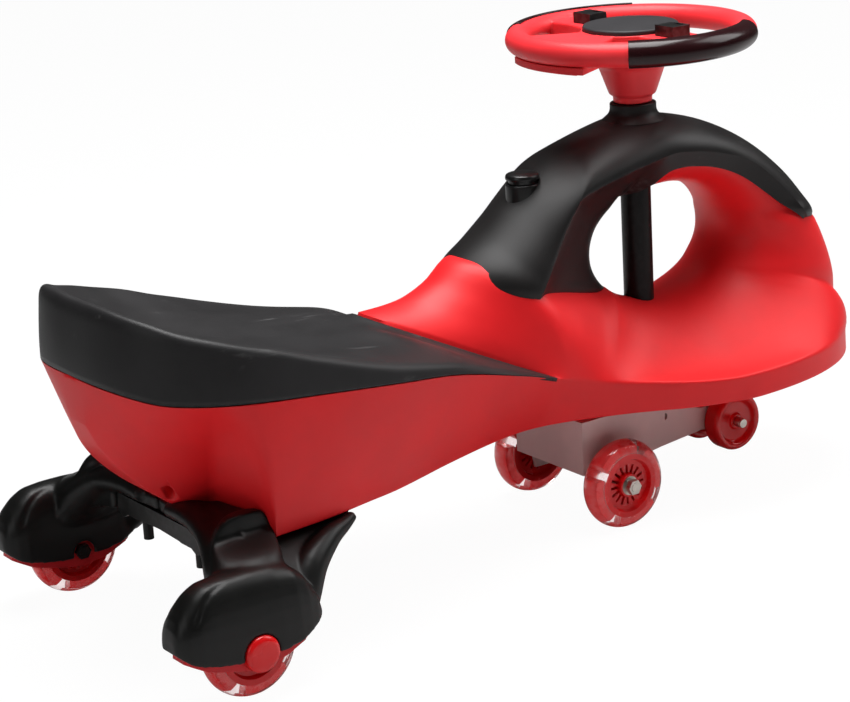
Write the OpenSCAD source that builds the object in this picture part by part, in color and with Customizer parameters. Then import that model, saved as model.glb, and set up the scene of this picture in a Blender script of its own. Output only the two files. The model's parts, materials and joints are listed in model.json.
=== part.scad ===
// Wiggle car: a ride-on toy that is driven by swinging its steering wheel.
// Millimetres, +X forward, +Y left, +Z up. The origin is the bottom centre of the bounding box.

/* [Body] */
// Length of the plastic body from stern to nose
body_length = 736; // [640:1:840]
// Widest part of the seat
seat_width = 250; // [225:1:280]
// Height of the flat underside above the floor
floor_height = 100; // [98:1:115]
// Height of the arch top above the floor
arch_height = 327; // [315:1:350]
// Wall of the blow-moulded body
body_wall = 3.6; // [2.5:0.1:5]
// Wall of the seat and arch covers
cover_wall = 3; // [2:0.1:4]
// Space between parts that sit on each other
seam = 0.3; // [0.2:0.1:0.6]

/* [Steering] */
// Height of the middle of the steering wheel's rim above the arch top
rim_rise = 67; // [62:1:80]
// Outer diameter of the steering wheel
rim_diameter = 209; // [190:1:240]
// Thickness of the steering wheel's rim under its grips
rim_thickness = 20; // [17:0.5:23]
// Wall of the two grip shells
grip_wall = 1.1; // [0.8:0.1:2]
// Outer diameter of the steering column
column_diameter = 25.4; // [22:0.1:30]
// Wall of the steering column
column_wall = 3; // [2:0.5:5]
// Radial clearance of a part that turns on a shaft
running = 0.05; // [0.02:0.01:0.1]

/* [Wheels] */
// Diameter of the four large wheels
wheel_diameter = 75; // [70:0.5:80]
// Width of a large tyre
tyre_width = 21; // [18:0.5:24]
// Diameter of the wheel cores
core_diameter = 54; // [48:0.5:60]
// Slots round a wheel hub
core_slots = 16; // [10:1:20]
// Distance between the middles of the rear wheels
rear_track = 268; // [255:1:290]
// Distance between the middles of the front wheels
front_track = 122; // [118:1:140]
// Diameter of the two guide wheels
guide_diameter = 51.4; // [44:0.2:56]
// Width of a guide wheel
guide_width = 16; // [12:0.5:20]
// Distance between the middles of the guide wheels
guide_track = 43; // [42:1:52]
// Diameter of all wheel bolts
axle_diameter = 8; // [6:0.5:10]

/* [Controls] */
// Diameter of the horn knob
horn_diameter = 28; // [22:0.5:34]
// Travel of the horn knob
horn_travel = 3; // [2:0.5:4]
// Travel of the two sound buttons
button_travel = 1.5; // [1:0.1:2]

/* [Hidden] */
$fn = 64;

// The flowing shells are drawn at a nominal size and then placed at the sizes above.
nominal_length = 736;
middle_x = 2.25;
nominal_floor = 100;
nominal_top = 327;
long_k = body_length / nominal_length;
wide_k = seat_width / 250;
high_k = (arch_height - floor_height) / (nominal_top - nominal_floor);
function place_x(x) = (x - middle_x) * long_k;
function place_z(z) = floor_height + (z - nominal_floor) * high_k;
function place(p) =
    [for (c = [place_x(p[0]), p[1] * wide_k, place_z(p[2])]) round(c * 1000) / 1000 + 0];

function lerp(a, b, t) = a + (b - a) * t;
function clamp01(t) = min(1, max(0, t));
function ease(t) = let (s = clamp01(t)) s * s * (3 - 2 * s);
function span_of(list, x, i = 0) =
    (i >= len(list) - 2 || x < list[i + 1][0]) ? i : span_of(list, x, i + 1);
function slope_at(list, i) =
    let (a = list[max(0, i - 1)], b = list[min(len(list) - 1, i + 1)])
    (b[1] - a[1]) / (b[0] - a[0]);
// A smooth curve through [x, value] points, which are in order of x
function curve(list, x) =
    let (i = span_of(list, x), p = list[i], q = list[i + 1], h = q[0] - p[0])
    let (t = (x - p[0]) / h, t2 = t * t, t3 = t2 * t)
    (2 * t3 - 3 * t2 + 1) * p[1] + (t3 - 2 * t2 + t) * h * slope_at(list, i)
    + (3 * t2 - 2 * t3) * q[1] + (t3 - t2) * h * slope_at(list, i + 1);
function bezier(a, b, c, d, t) =
    let (s = 1 - t)
    s * s * s * a + 3 * s * s * t * b + 3 * s * t * t * c + t * t * t * d;
function super_round(c, n) = pow(max(0, c), 2 / n);

// Surfaces are grids of points. A patchwork joins grids into one closed solid.
function flip_y(p) = [p[0], p[1] == 0 ? 0 : -p[1], p[2]];
function mirrored(grid) = [for (row = grid) [for (p = row) flip_y(p)]];
function placed(grid) = [for (row = grid) [for (p = row) place(p)]];
function skin(grid, turn = false) =
    [for (i = [0 : len(grid) - 2], j = [0 : len(grid[i]) - 2])
        let (a = grid[i][j], b = grid[i + 1][j], c = grid[i + 1][j + 1], d = grid[i][j + 1])
        each turn ? [[a, c, b], [a, d, c]] : [[a, b, c], [a, c, d]]];
function strip(a, b) =
    [for (i = [0 : len(a) - 2]) each [[a[i], a[i + 1], b[i + 1]], [a[i], b[i + 1], b[i]]]];
function middle_of(loop) = [for (k = [0 : 2]) [for (p = loop) p[k]] * [for (p = loop) 1] / len(loop)];
function fan(loop) =
    let (n = len(loop), m = middle_of(loop))
    [for (i = [0 : n - 1]) [m, loop[i], loop[(i + 1) % n]]];
function turned(tris) = [for (t = tris) [t[0], t[2], t[1]]];
function closed(ring) = concat(ring, [ring[0]]);
function loft(rings) =
    concat(skin([for (r = rings) closed(r)]), fan(rings[0]), turned(fan(rings[len(rings) - 1])));
function unit(v) = v / max(norm(v), 0.000001);
function flip_tris(tris) = [for (t = tris) [flip_y(t[0]), flip_y(t[2]), flip_y(t[1])]];
function column_of(grid, j) = [for (row = grid) row[j]];
// A sheet with a thickness: outer and inner grid, and strips along the edges that are named
function sheet(outer, inner, first_row, last_row, first_column, last_column) =
    let (n = len(outer) - 1, m = len(outer[0]) - 1)
    concat(skin(outer), turned(skin(inner)),
        first_column ? strip(column_of(inner, 0), column_of(outer, 0)) : [],
        last_column ? strip(column_of(outer, m), column_of(inner, m)) : [],
        first_row ? strip(outer[0], inner[0]) : [],
        last_row ? strip(inner[n], outer[n]) : []);
function both_sides(tris) = concat(tris, flip_tris(tris));
function swept(t) = cross(t[0], t[1]) * t[2];
function sound(t) = t[0] != t[1] && t[1] != t[2] && t[0] != t[2];
module patchwork(tris) {
    kept = [for (t = tris) if (sound(t)) t];
    inside_out = [for (t = kept) swept(t)] * [for (t = kept) 1] > 0;
    good = inside_out ? turned(kept) : kept;
    polyhedron(points = [for (t = good) each t],
        faces = [for (i = [0 : len(good) - 1]) [3 * i, 3 * i + 1, 3 * i + 2]]);
}

// Plan and side curves of the body
// Half width of the crease: the seat's parting line behind, the top of the nose skirt in front
crease_half = [[-232, 125], [-200, 125], [-160, 121], [-120, 114], [-80, 104], [-40, 92], [0, 81], [31, 72],
    [50, 71], [75, 75], [110, 86], [148, 105], [180, 114.5], [203, 116]];
crease_high = [[-367, 224], [-340, 214.5], [-322, 212.2], [-282, 209.5], [-241, 206], [-198, 201.5],
    [-154, 195.5], [-103, 187.5], [-66, 178], [-28, 166], [0, 157], [31, 146], [50, 140], [75, 133],
    [110, 128], [148, 124.5], [180, 122.5], [203, 122], [290, 121], [380, 119]];
// Half width of the flat underside, and the keel of the stern behind it
under_half = [[-262, 108], [-212, 103], [-172, 95], [-139, 88], [-75, 67], [-16, 51], [18, 47.5], [45, 52],
    [77, 63], [109, 77], [152, 100], [195, 114], [203, 115]];
keel_half = [[-358, 12], [-340, 22], [-310, 28], [-270, 30]];
keel_high = [[-358, 186], [-350, 166], [-335, 145], [-310, 121], [-285, 104], [-270, 100]];
// Middle line of seat and saddle
middle_high = [[-362, 262], [-350, 264], [-330, 252], [-300, 239], [-260, 228], [-220, 221], [-180, 217],
    [-140, 215], [-110, 214.5], [-68, 217], [-39, 226], [-13, 238]];
// Height of the seat's rim above the parting line
rim_above = [[-367, 57], [-345, 55], [-322, 50], [-300, 43], [-273, 35], [-232, 26.5], [-181, 16], [-129, 8],
    [-74, 4], [-28, 2], [31, 0.5]];
tail_x = -232;
tail_long = 129;
tail_fill = 2.6;
nose_x = 203;
nose_half = 116;
nose_long = 172;
nose_fill = 2.25;
corner_x = 31;
seat_front_x = -110;
// Hand hole through the arch, and the profile of nose and arch round it
hole_x = 184;
hole_z = 219;
hole_a = 73;
hole_b = 52;
arc_x = 170;
arc_z = 110;
arc_a = 205;
arc_b = 217;
function throat(a, off = 0) = [hole_x + (hole_a - off) * cos(a), 0, hole_z + (hole_b - off) * sin(a)];
function front(a, off = 0) = [arc_x + (arc_a + off) * cos(a), 0, arc_z + (arc_b + off) * sin(a)];

// Stern to seat corner: t = 0 at the stern, 1 at the seat's front corner
tail_share = 0.42;
function hull_x(t) =
    t < tail_share ? tail_x - tail_long * super_round(cos(90 * t / tail_share), tail_fill)
    : lerp(tail_x, corner_x, (t - tail_share) / (1 - tail_share));
function hull_half(t) =
    t < tail_share ? curve(crease_half, tail_x) * super_round(sin(90 * t / tail_share), tail_fill)
    : curve(crease_half, hull_x(t));
function hull_crease(t) = let (x = hull_x(t)) [x, -hull_half(t), curve(crease_high, x)];
function hull_middle_x(t) = lerp(tail_x - tail_long, seat_front_x, pow(t, 0.9));
// The deck under the seat stays a hand's breadth of clearance below it
under_seat = 9;
function hull_line(t, v) =
    let (a = hull_crease(t), x = hull_middle_x(t))
    let (low = a[2] - 3 * ease(t / 0.04), k = ease((t - 0.8) / 0.2))
    let (z = lerp(low, curve(middle_high, x) - under_seat, ease((t - 0.04) / 0.2)))
    bezier(a, [lerp(a[0], x, lerp(0.15, 0.3, k)), lerp(a[1] * 0.85, -54, k), a[2] - 10 * ease(t / 0.1)],
        [x, lerp(a[1] * 0.5, -32, k), z], [x, 0, z], v);
// A triangle that lies in the middle plane would meet its own mirror image
function off_middle(tris) = [for (t = tris) if (t[0][1] != 0 || t[1][1] != 0 || t[2][1] != 0) t];

// Seat corner to nose: u = 0 at the seat corner, 1 at the front of the nose
nose_share = 0.6;
crease_run = [[0, 31], [0.1, 37], [0.2, 46], [0.3, 60], [0.37, 78], [0.45, 118], [0.53, 168], [0.6, 203]];
function nose_crease(u) =
    u < nose_share
    ? let (x = curve(crease_run, u)) [x, -curve(crease_half, x), curve(crease_high, x)]
    : let (a = 90 * (1 - u) / (1 - nose_share))
      let (x = nose_x + nose_long * super_round(cos(a), nose_fill))
      [x, -nose_half * super_round(sin(a), nose_fill), curve(crease_high, x)];
throat_start = 0.37;
saddle_x = [[0, -110], [0.1, -66], [0.15, -41], [0.2, -14], [0.3, 62], [0.37, 125]];
saddle_z = [[0, 214.5], [0.1, 216], [0.15, 223], [0.2, 235], [0.3, 211], [0.37, 188]];
throat_turn = [[0.37, 216], [0.45, 245], [0.53, 268], [0.6, 283], [0.8, 305], [1, 322]];
function nose_inner(u) =
    u < throat_start ? [curve(saddle_x, u), 0, curve(saddle_z, u)] : throat(curve(throat_turn, u));
// Shares of the way up and back at which the nose's front line bends
prow_x = 0.08;
prow_z = 0.75;
// Each line leaves the crease and meets the inner edge under these control points
leave_y = [[0, 54], [0.1, 62], [0.2, 67], [0.3, 67], [0.37, 66], [0.45, 62], [0.6, 80], [0.75, 98],
    [0.9, 102], [1, 102]];
leave_z = [[0, 0.28], [0.1, 0.6], [0.2, 0.85], [0.3, 0.75], [0.37, 0.5], [0.45, 0.16], [0.6, 0.16], [0.75, 0.3],
    [0.9, 0.58], [1, prow_z]];
leave_x = [[0, 0.3], [0.2, 0.2], [0.6, 0.2], [0.8, 0.16], [1, prow_x]];
meet_y = [[0, 32], [0.1, 31], [0.2, 34], [0.3, 40], [0.37, 36], [0.45, 38], [0.6, 46], [0.8, 58], [1, 68]];
function nose_line(u, v) =
    let (a = nose_crease(u), d = nose_inner(u))
    let (b = [lerp(a[0], d[0], curve(leave_x, u)), -curve(leave_y, u), lerp(a[2], d[2], curve(leave_z, u))])
    bezier(a, b, [d[0], -curve(meet_y, u), d[2]], d, v);

// Red arch: w = 0 at the front of the nose, 1 at its rear end above the hole
arch_turn = [[0, 2.4], [0.15, 12], [0.35, 30], [0.6, 58], [0.85, 88], [1, 101]];
arch_throat = [[0, 322], [0.15, 340], [0.35, 371], [0.6, 412], [0.85, 457], [1, 489]];
arch_q1 = [[0, 102], [0.15, 98], [0.35, 86], [0.6, 68], [0.85, 62], [1, 62]];
arch_q2 = [[0, 68], [0.15, 70], [0.35, 68], [0.6, 62], [0.85, 60], [1, 60]];
function arch_controls(w, off = 0) =
    let (a = front(curve(arch_turn, w), off), d = throat(curve(arch_throat, w)), low = 1 - ease(w / 0.3))
    [a, [lerp(a[0], d[0], prow_x * low), -curve(arch_q1, w) - off * 1.3, lerp(a[2], d[2], prow_z * low)],
        [d[0], -curve(arch_q2, w) - off * 1.3, d[2]], d];
function arch_line(w, v, off = 0) = let (c = arch_controls(w, off)) bezier(c[0], c[1], c[2], c[3], v);
// The red arch is lower where the cover lies on it
function rebate(w) = -(cover_wall + 5 * seam) * ease((w - 0.18) / 0.06);
function red_arch(w, v) = arch_line(w, v, rebate(w));

// Where the wall below each crease point ends: on the flat underside, or on the keel of the stern
flap_x = -262;
keel_x = -270;
function under_at(c) =
    c[0] > nose_x ? [c[0] + 1, c[1] * 0.995, nominal_floor]
    : c[0] > -276 ? let (x = max(c[0], flap_x)) [x, -curve(under_half, x), nominal_floor]
    : c[0] > -312 ? let (k = ease((c[0] + 312) / 36))
      [lerp(keel_x, flap_x, k), -lerp(curve(keel_half, keel_x), curve(under_half, flap_x), k), nominal_floor]
    : let (x = lerp(-358, keel_x, clamp01((c[0] + 361) / 49)))
      [x, max(c[1], -curve(keel_half, x)), curve(keel_high, x)];

hull_n = 28;
nose_n = 26;
arch_n = 16;
line_n = 12;
wall_n = 4;
hull_creases = [for (i = [0 : hull_n]) hull_crease(i / hull_n)];
nose_creases = [for (i = [0 : nose_n]) nose_crease(i / nose_n)];
body_lines = placed(concat(
    [for (i = [0 : hull_n]) [for (j = [0 : line_n]) hull_line(i / hull_n, j / line_n)]],
    [for (i = [0 : nose_n]) [for (j = [0 : line_n]) nose_line(i / nose_n, j / line_n)]],
    [for (i = [1 : arch_n]) [for (j = [0 : line_n]) red_arch(i / arch_n, j / line_n)]]));
wall_lines = placed([for (c = concat(hull_creases, nose_creases))
    let (e = under_at(c), out = [0, -2.5 * ease((60 - c[0]) / 80) * ease(-c[1] / 30), 0])
    [for (j = [0 : wall_n]) let (t = j / wall_n) lerp(c, e, t) + out * 4 * t * (1 - t)]]);

module body_solid() {
    unders = [for (s = wall_lines) s[wall_n]];
    last = body_lines[len(body_lines) - 1];
    patchwork(concat(
        off_middle(skin(body_lines, true)), off_middle(skin(mirrored(body_lines))),
        skin(wall_lines), skin(mirrored(wall_lines), true),
        strip(unders, [for (p = unders) flip_y(p)]),
        fan(concat([for (j = [0 : line_n]) last[j]], [for (j = [line_n - 1 : -1 : 1]) flip_y(last[j])]))));
}

// The hollow follows the outside: cross-sections of the hull, and rings inside the arch
function inset(p, core, d) = let (v = core - p, n = max(norm(v), 0.01)) p + v * min(0.85, d / n);
hollow_top = [[-348, 208], [-325, 213], [-300, 216], [-260, 209], [-220, 204], [-180, 201], [-110, 198],
    [-60, 196], [0, 192], [60, 176], [125, 164], [184, 158], [250, 158], [300, 148], [355, 128]];
hollow_x = [-346, -336, -322, -305, -282, -256, -225, -190, -150, -110, -70, -30, 5, 31, 50, 75, 110, 148, 180,
    203, 240, 280, 315, 340, 357];
function rounded_half(x, from, long, half, fill) = half * pow(1 - pow(clamp01((x - from) / long), fill), 1 / fill);
function crease_width(x) =
    x < tail_x ? rounded_half(-x, -tail_x, tail_long, curve(crease_half, tail_x), tail_fill)
    : x > nose_x ? rounded_half(x, nose_x, nose_long, nose_half, nose_fill) : curve(crease_half, x);
function under_width(x) =
    x < keel_x ? curve(keel_half, max(-358, x)) : x < flap_x ? curve(under_half, flap_x)
    : x > nose_x ? crease_width(x) : curve(under_half, x);
function under_level(x) = x < keel_x ? curve(keel_high, max(-358, x)) : nominal_floor;
function hollow_ring(x) =
    let (d = body_wall + 1.6, c = crease_width(x), z = curve(crease_high, x) - d, top = curve(hollow_top, x))
    let (stern = ease((-215 - x) / 70), low = min(under_level(x) + d + 24 * stern, z - 4))
    let (right = [[x, -max(4, under_width(x) * (1 - 0.5 * stern) - d - 1), low], [x, -max(5, c - d - 2), z],
        [x, -max(3, 0.52 * c), (z + d + top) / 2 - 4]])
    [for (p = concat(right, [[x, 0, top]], [for (k = [2 : -1 : 0]) flip_y(right[k])])) place(p)];
function arch_hollow(w) =
    let (ring = arch_ring(w, 0), m = middle_of(ring), core = [m[0], 0, m[2]])
    [for (k = [0 : 2 : len(ring) - 1]) inset(ring[k], core, body_wall * 1.4)];
module body_hollow() {
    patchwork(loft([for (x = hollow_x) hollow_ring(x)]));
    patchwork(loft([for (i = [0 : 8]) arch_hollow(lerp(0.08, 0.97, i / 8))]));
}
function arch_half(w, off) = [for (j = [0 : line_n]) place(arch_line(w, j / line_n, rebate(w) + off))];
function whole(half) = concat(half, [for (k = [len(half) - 2 : -1 : 1]) flip_y(half[k])]);
function arch_ring(w, off) = whole(arch_half(w, off));

// Seat cover: a flank up to the rim, then the pan, one wall thick
flank_n = 3;
pan_n = 8;
seat_inset = [[0, 8], [0.6, 8], [1, 3]];
seat_back_x = -328;
seat_end = 0.995;
function seat_way(g) = unit([max(tail_x, g[0]) - g[0], -g[1], 0]);
function seat_raw(t, j) =
    let (c = hull_crease(t), g = c + [0, 0, seam], way = seat_way(c), h = curve(rim_above, c[0]))
    let (k = g + way * curve(seat_inset, t) + [0, 0, h], soft = min(1, h / 12))
    let (x = lerp(seat_back_x, seat_front_x, pow(t, 0.9)), z = curve(middle_high, x))
    j <= flank_n
    ? bezier(g, g - way * 3.5 * soft + [0, 0, 0.35 * h], k - way * 1.5 * soft - [0, 0, 0.25 * h], k, j / flank_n)
    : bezier(k, k + way * 11 + [0, 0, 0.04 * h], [x, k[1] * 0.5, z], [x, 0, z], (j - flank_n) / pan_n);
function seat_share(j) = j <= flank_n ? 0.06 * j / flank_n : 0.06 + 0.94 * (j - flank_n) / pan_n;
// Towards its front edge the seat takes the shape of the red saddle
function seat_point(t, j) =
    seat_raw(t, j) + (nose_line(0, seat_share(j)) + [0, 0, seam] - seat_raw(1, j)) * ease((t - 0.72) / 0.28);
function grid_normal(g, i, j) =
    let (n = len(g) - 1, m = len(g[0]) - 1)
    unit(cross(g[min(i + 1, n)][j] - g[max(i - 1, 0)][j], g[i][min(j + 1, m)] - g[i][max(j - 1, 0)]));
function seat_inner(g) =
    let (n = len(g) - 1, m = len(g[0]) - 1)
    [for (i = [0 : n]) [for (j = [0 : m])
        let (w = grid_normal(g, i, j))
        let (way = i == n ? [0, 0, 1] : j == 0 ? unit([w[0], i == 0 ? 0 : w[1], 0])
            : j == m || i == 0 ? unit([w[0], 0, w[2]]) : w)
        let (p = g[i][j] - cover_wall * way)
        j <= flank_n + 1 ? [p[0], p[1], max(p[2], g[i][0][2])] : p]];
module seat_cover() {
    outer = placed([for (i = [0 : hull_n]) [for (j = [0 : flank_n + pan_n]) seat_point(seat_end * i / hull_n, j)]]);
    color("#161616")
        patchwork(off_middle(both_sides(sheet(outer, seat_inner(outer), false, true, true, false))));
}

// Arch cover: one crown from the saddle to the tip, and the leg's face towards the hand hole
leg_top_x = [[-0.15, -34], [0, -13.4], [0.15, 12.6], [0.3, 38.5], [0.47, 65], [0.66, 97], [0.85, 128], [1, 150]];
leg_top_z = [[-0.15, 218], [0, 237], [0.15, 254], [0.3, 273], [0.47, 291.5], [0.66, 309.5],
    [0.85, 321.5], [1, 326.5]];
leg_side_x = [[-0.15, 36], [0, 41], [0.25, 49], [0.45, 66], [0.65, 87], [1, 125]];
leg_side_y = [[-0.15, 59], [0, 57], [0.25, 53], [0.45, 50], [0.65, 49], [1, 48]];
leg_side_z = [[-0.15, 184], [0, 202], [0.25, 228], [0.45, 253], [0.65, 270], [1, 286]];
leg_throat = [[-0.15, 222], [0, 216], [1, 129]];
// How far round the arch the cover reaches, from its tip to the top
cap_reach = [[0.3, 0.1], [0.36, 0.3], [0.42, 0.47], [0.6, 0.6], [0.85, 0.64], [1.1, 0.66]];
function leg_controls(b) =
    let (top = [curve(leg_top_x, b), 0, curve(leg_top_z, b)], w = curve(leg_side_y, b))
    let (side = [curve(leg_side_x, b), -w, curve(leg_side_z, b)], near = lerp(side, top, 0.45))
    [top, top - [0, 0.5 * w, 0], [near[0], -1.03 * w, near[2]], side];
function cap_controls(w) =
    let (c = arch_controls(w), t = curve(cap_reach, w))
    let (ab = lerp(c[0], c[1], t), bc = lerp(c[1], c[2], t), cd = lerp(c[2], c[3], t))
    [c[0], ab, lerp(ab, bc, t), lerp(lerp(ab, bc, t), lerp(bc, cd, t), t)];
cover_keys = concat([for (b = [-0.15, 0, 0.15, 0.3, 0.45, 0.6, 0.72]) leg_controls(b)],
    [for (w = [0.88, 0.8, 0.7, 0.6, 0.5, 0.42, 0.36, 0.3]) cap_controls(w)]);
function run_to(i) = i == 0 ? 0 : run_to(i - 1) + norm(cover_keys[i][0] - cover_keys[i - 1][0]);
cover_run = [for (i = [0 : len(cover_keys) - 1]) run_to(i) / run_to(len(cover_keys) - 1)];
cover_flow = [for (c = [0 : 3]) [for (k = [0 : 2])
    [for (i = [0 : len(cover_keys) - 1]) [cover_run[i], cover_keys[i][c][k]]]]];
function cover_line(s, v) =
    let (p = [for (c = cover_flow) [for (k = c) curve(k, s)]])
    bezier(p[0], v == 0 ? p[0] : p[1], p[2], p[3], v);
cover_n = 38;
crown_n = 8;
flare_n = 6;
// The leg's face ends at this row, where the red arch begins
face_rows = 20;
function face_line(i, v) =
    let (side = cover_line(i / cover_n, 1), low = throat(curve(leg_throat, lerp(-0.15, 1, i / face_rows))))
    let (under = lerp(side, low, 0.35))
    bezier(side, [under[0], 0.78 * side[1], under[2]], low + [0, 0.4 * side[1], 0], low, v);
cover_crown = placed([for (i = [0 : cover_n]) [for (j = [0 : crown_n]) cover_line(i / cover_n, j / crown_n)]]);
cover_face = placed([for (i = [0 : face_rows]) [for (j = [0 : flare_n]) face_line(i, j / flare_n)]]);
function flat_way(w) = unit([w[0], 0, w[2]]);
// The crown is thinner towards its edge. Along the leg's edge crown and face share one inner point
function crown_wall(j) = cover_wall * (1 - 0.3 * pow(j / crown_n, 2));
function edge_inner(i) =
    let (a = grid_normal(cover_crown, i, crown_n), b = grid_normal(cover_face, i, 0), m = unit(a + b))
    cover_crown[i][crown_n] + m * crown_wall(crown_n) / max(0.6, m * a);
crown_inner = [for (i = [0 : cover_n]) [for (j = [0 : crown_n])
    let (w = grid_normal(cover_crown, i, j))
    j == crown_n && i <= face_rows ? edge_inner(i)
    : cover_crown[i][j] + crown_wall(j) * (j == 0 ? flat_way(w) : w)]];
face_inner = [for (i = [0 : face_rows]) [for (j = [0 : flare_n])
    let (w = grid_normal(cover_face, i, j))
    j == 0 ? edge_inner(i) : cover_face[i][j] + cover_wall * (j == flare_n ? flat_way(w) : w)]];
module cover_skin() {
    free = [for (i = [face_rows : cover_n]) i];
    patchwork(off_middle(both_sides(concat(
        sheet(cover_crown, crown_inner, true, true, false, false),
        sheet(cover_face, face_inner, true, true, false, false),
        strip([for (i = free) cover_crown[i][crown_n]], [for (i = free) crown_inner[i][crown_n]])))));
}
// What the leg stands on, a seam larger than it is
module saddle_cutter() {
    n = 22;
    g = placed([for (i = [0 : n]) [for (j = [0 : line_n]) nose_line(lerp(0.07, 0.46, i / n), j / line_n)]]);
    high = [for (i = [0 : n]) [for (j = [0 : line_n])
        let (w = grid_normal(g, i, j)) g[i][j] + 2 * seam * (j == line_n ? unit([w[0], 0, w[2]]) : w)]];
    edge = concat(column_of(high, 0), [for (j = [1 : line_n]) high[n][j]]);
    back = [for (j = [line_n : -1 : 0]) high[0][j]];
    apex = [place_x(70), 0, floor_height - 60];
    half = concat(turned(skin(high)), turned([for (k = [0 : len(edge) - 2]) [apex, edge[k + 1], edge[k]]]),
        turned([for (k = [0 : len(back) - 2]) [apex, back[k + 1], back[k]]]));
    patchwork(off_middle(both_sides(half)));
}
module arch_cutter() {
    rows = concat([for (i = [8 : arch_n]) arch_half(i / arch_n, seam)], [arch_half(1.005, seam)]);
    patchwork(concat(off_middle(both_sides(skin(rows))), fan(whole(rows[0])),
        turned(fan(whole(rows[len(rows) - 1])))));
}
// Steering axis and bushes
column_x = place_x(175);
column_r = column_diameter / 2;
bush_r = column_r + 6.6;
collar_top = arch_height + 11;
lower_bush_r = column_r + 7.4;
flange_r = lower_bush_r + 9;
flange_t = 3.5;
bush_deep = 14;
screw_d = 3.2;
head_d = 6.4;
bush_screw_r = lower_bush_r + 4.6;

snug = 0.05;
carriage_top = floor_height - 8;
axle_r = axle_diameter / 2;
wheel_r = wheel_diameter / 2;

module at_column() {
    translate([column_x, 0, 0])
        children();
}
module body_shell() {
    color("red")
        difference() {
            body_solid();
            body_hollow();
            at_column() {
                translate([0, 0, floor_height - 5])
                    cylinder(r = column_r + 0.8, h = arch_height - floor_height + 20);
                translate([0, 0, arch_height - 30])
                    cylinder(r = bush_r + seam / 2, h = 40);
                translate([0, 0, floor_height - 5])
                    cylinder(r = lower_bush_r + seam / 2, h = bush_deep + 5.5);
            }
            bush_screw_places()
                translate([0, 0, floor_height - 1])
                    cylinder(d = screw_d + 2 * snug, h = 9, $fn = 24);
            frame_screw_places()
                translate([0, 0, floor_height - 1])
                    cylinder(d = bolt_d + 2 * snug, h = 24, $fn = 24);
            stern_vents();
        }
}
// Two vents of the blow-moulding in the stern
module stern_vents() {
    for (s = [-1, 1])
        translate(place([-307, 36 * s, 129]))
            rotate([0, 0, -s * 45])
                rotate([0, 52, 0])
                    translate([0, 0, -11])
                        cylinder(d = 13, h = 30, $fn = 32);
}
module upper_bush() {
    color("#181818")
        at_column()
            difference() {
                translate([0, 0, arch_height - 29])
                    cylinder(r = bush_r, h = collar_top - arch_height + 29);
                translate([0, 0, arch_height - 30])
                    cylinder(r = column_r + running, h = 60);
            }
}
module bush_screw_places() {
    at_column()
        for (a = [45 : 90 : 315])
            rotate(a)
                translate([bush_screw_r, 0, 0])
                    children();
}
module lower_bush() {
    color("#202020")
        difference() {
            at_column() {
                translate([0, 0, floor_height - flange_t - snug])
                    cylinder(r = flange_r, h = flange_t);
                translate([0, 0, floor_height - flange_t - snug])
                    cylinder(r = lower_bush_r, h = flange_t + bush_deep);
            }
            at_column()
                translate([0, 0, floor_height - flange_t - 1])
                    cylinder(r = column_r + running, h = 40);
            bush_screw_places()
                translate([0, 0, floor_height - flange_t - 1])
                    cylinder(d = screw_d + 2 * snug, h = 10, $fn = 24);
        }
}
module bush_screws() {
    color("silver")
        bush_screw_places() {
            translate([0, 0, floor_height - flange_t - 2 * snug - 1.8])
                difference() {
                    cylinder(d = head_d, h = 1.8, $fn = 32);
                    translate([0, 0, -0.6])
                        for (a = [0, 90])
                            rotate(a)
                                translate([-1.8, -0.4, 0])
                                    cube([3.6, 0.8, 1.4]);
                }
            translate([0, 0, floor_height - flange_t - 2 * snug])
                cylinder(d = screw_d, h = flange_t + 7, $fn = 24);
        }
}

// Horn: a knob with a short travel in a bezel on the arch leg
horn_x = place_x(57);
horn_r = horn_diameter / 2;
horn_top = place_z(290);
horn_deep = 22;
horn_floor = 3;
stem_r = 5;
stem_gap = 0.3;
knob_gap = horn_travel + 0.6;
skirt_deep = 2.5;
coil_r = 7.6;
coil_wire = 1.1;
coil_turns = 4.5;
coil_sides = 6;
coil_steps = 20;
module at_horn() {
    translate([horn_x, 0, horn_top])
        children();
}
module arch_cover() {
    color("#303030")
        difference() {
            resize([0, 0, 0])
                difference() {
                    cover_skin();
                    saddle_cutter();
                    arch_cutter();
                }
            at_column()
                translate([0, 0, arch_height - 40])
                    cylinder(r = bush_r + seam / 2, h = 60);
            at_horn()
                translate([0, 0, -40])
                    cylinder(r = horn_r + seam / 2, h = 60);
        }
}
module horn_bezel() {
    color("#101010")
        at_horn()
            difference() {
                translate([0, 0, -horn_deep])
                    cylinder(r = horn_r, h = horn_deep);
                translate([0, 0, horn_floor - horn_deep])
                    cylinder(r = horn_r - 3.2, h = horn_deep);
                translate([0, 0, -horn_deep - 1])
                    cylinder(r = stem_r + stem_gap, h = horn_deep);
            }
}
module horn_button() {
    dome = 4.5;
    round_r = (horn_r * horn_r + dome * dome) / (2 * dome);
    color("#101010")
        at_horn()
            translate([0, 0, knob_gap]) {
                cylinder(r = horn_r, h = 1.6);
                translate([0, 0, -knob_gap - skirt_deep])
                    difference() {
                        cylinder(r = horn_r - 3.6, h = knob_gap + skirt_deep + 0.5);
                        translate([0, 0, -1])
                            cylinder(r = coil_r + coil_wire, h = knob_gap + skirt_deep + 1);
                    }
                intersection() {
                    translate([0, 0, 1.5])
                        cylinder(r = horn_r - 0.4, h = dome + 1);
                    translate([0, 0, 1.6 + dome - round_r])
                        sphere(r = round_r, $fn = 96);
                }
                translate([0, 0, -horn_deep - knob_gap - 3.5])
                    cylinder(r = stem_r, h = horn_deep + knob_gap + 4);
                translate([0, 0, -horn_deep - knob_gap - 3.4])
                    cylinder(r1 = stem_r, r2 = stem_r + 1.2, h = 2.4);
            }
}
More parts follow.
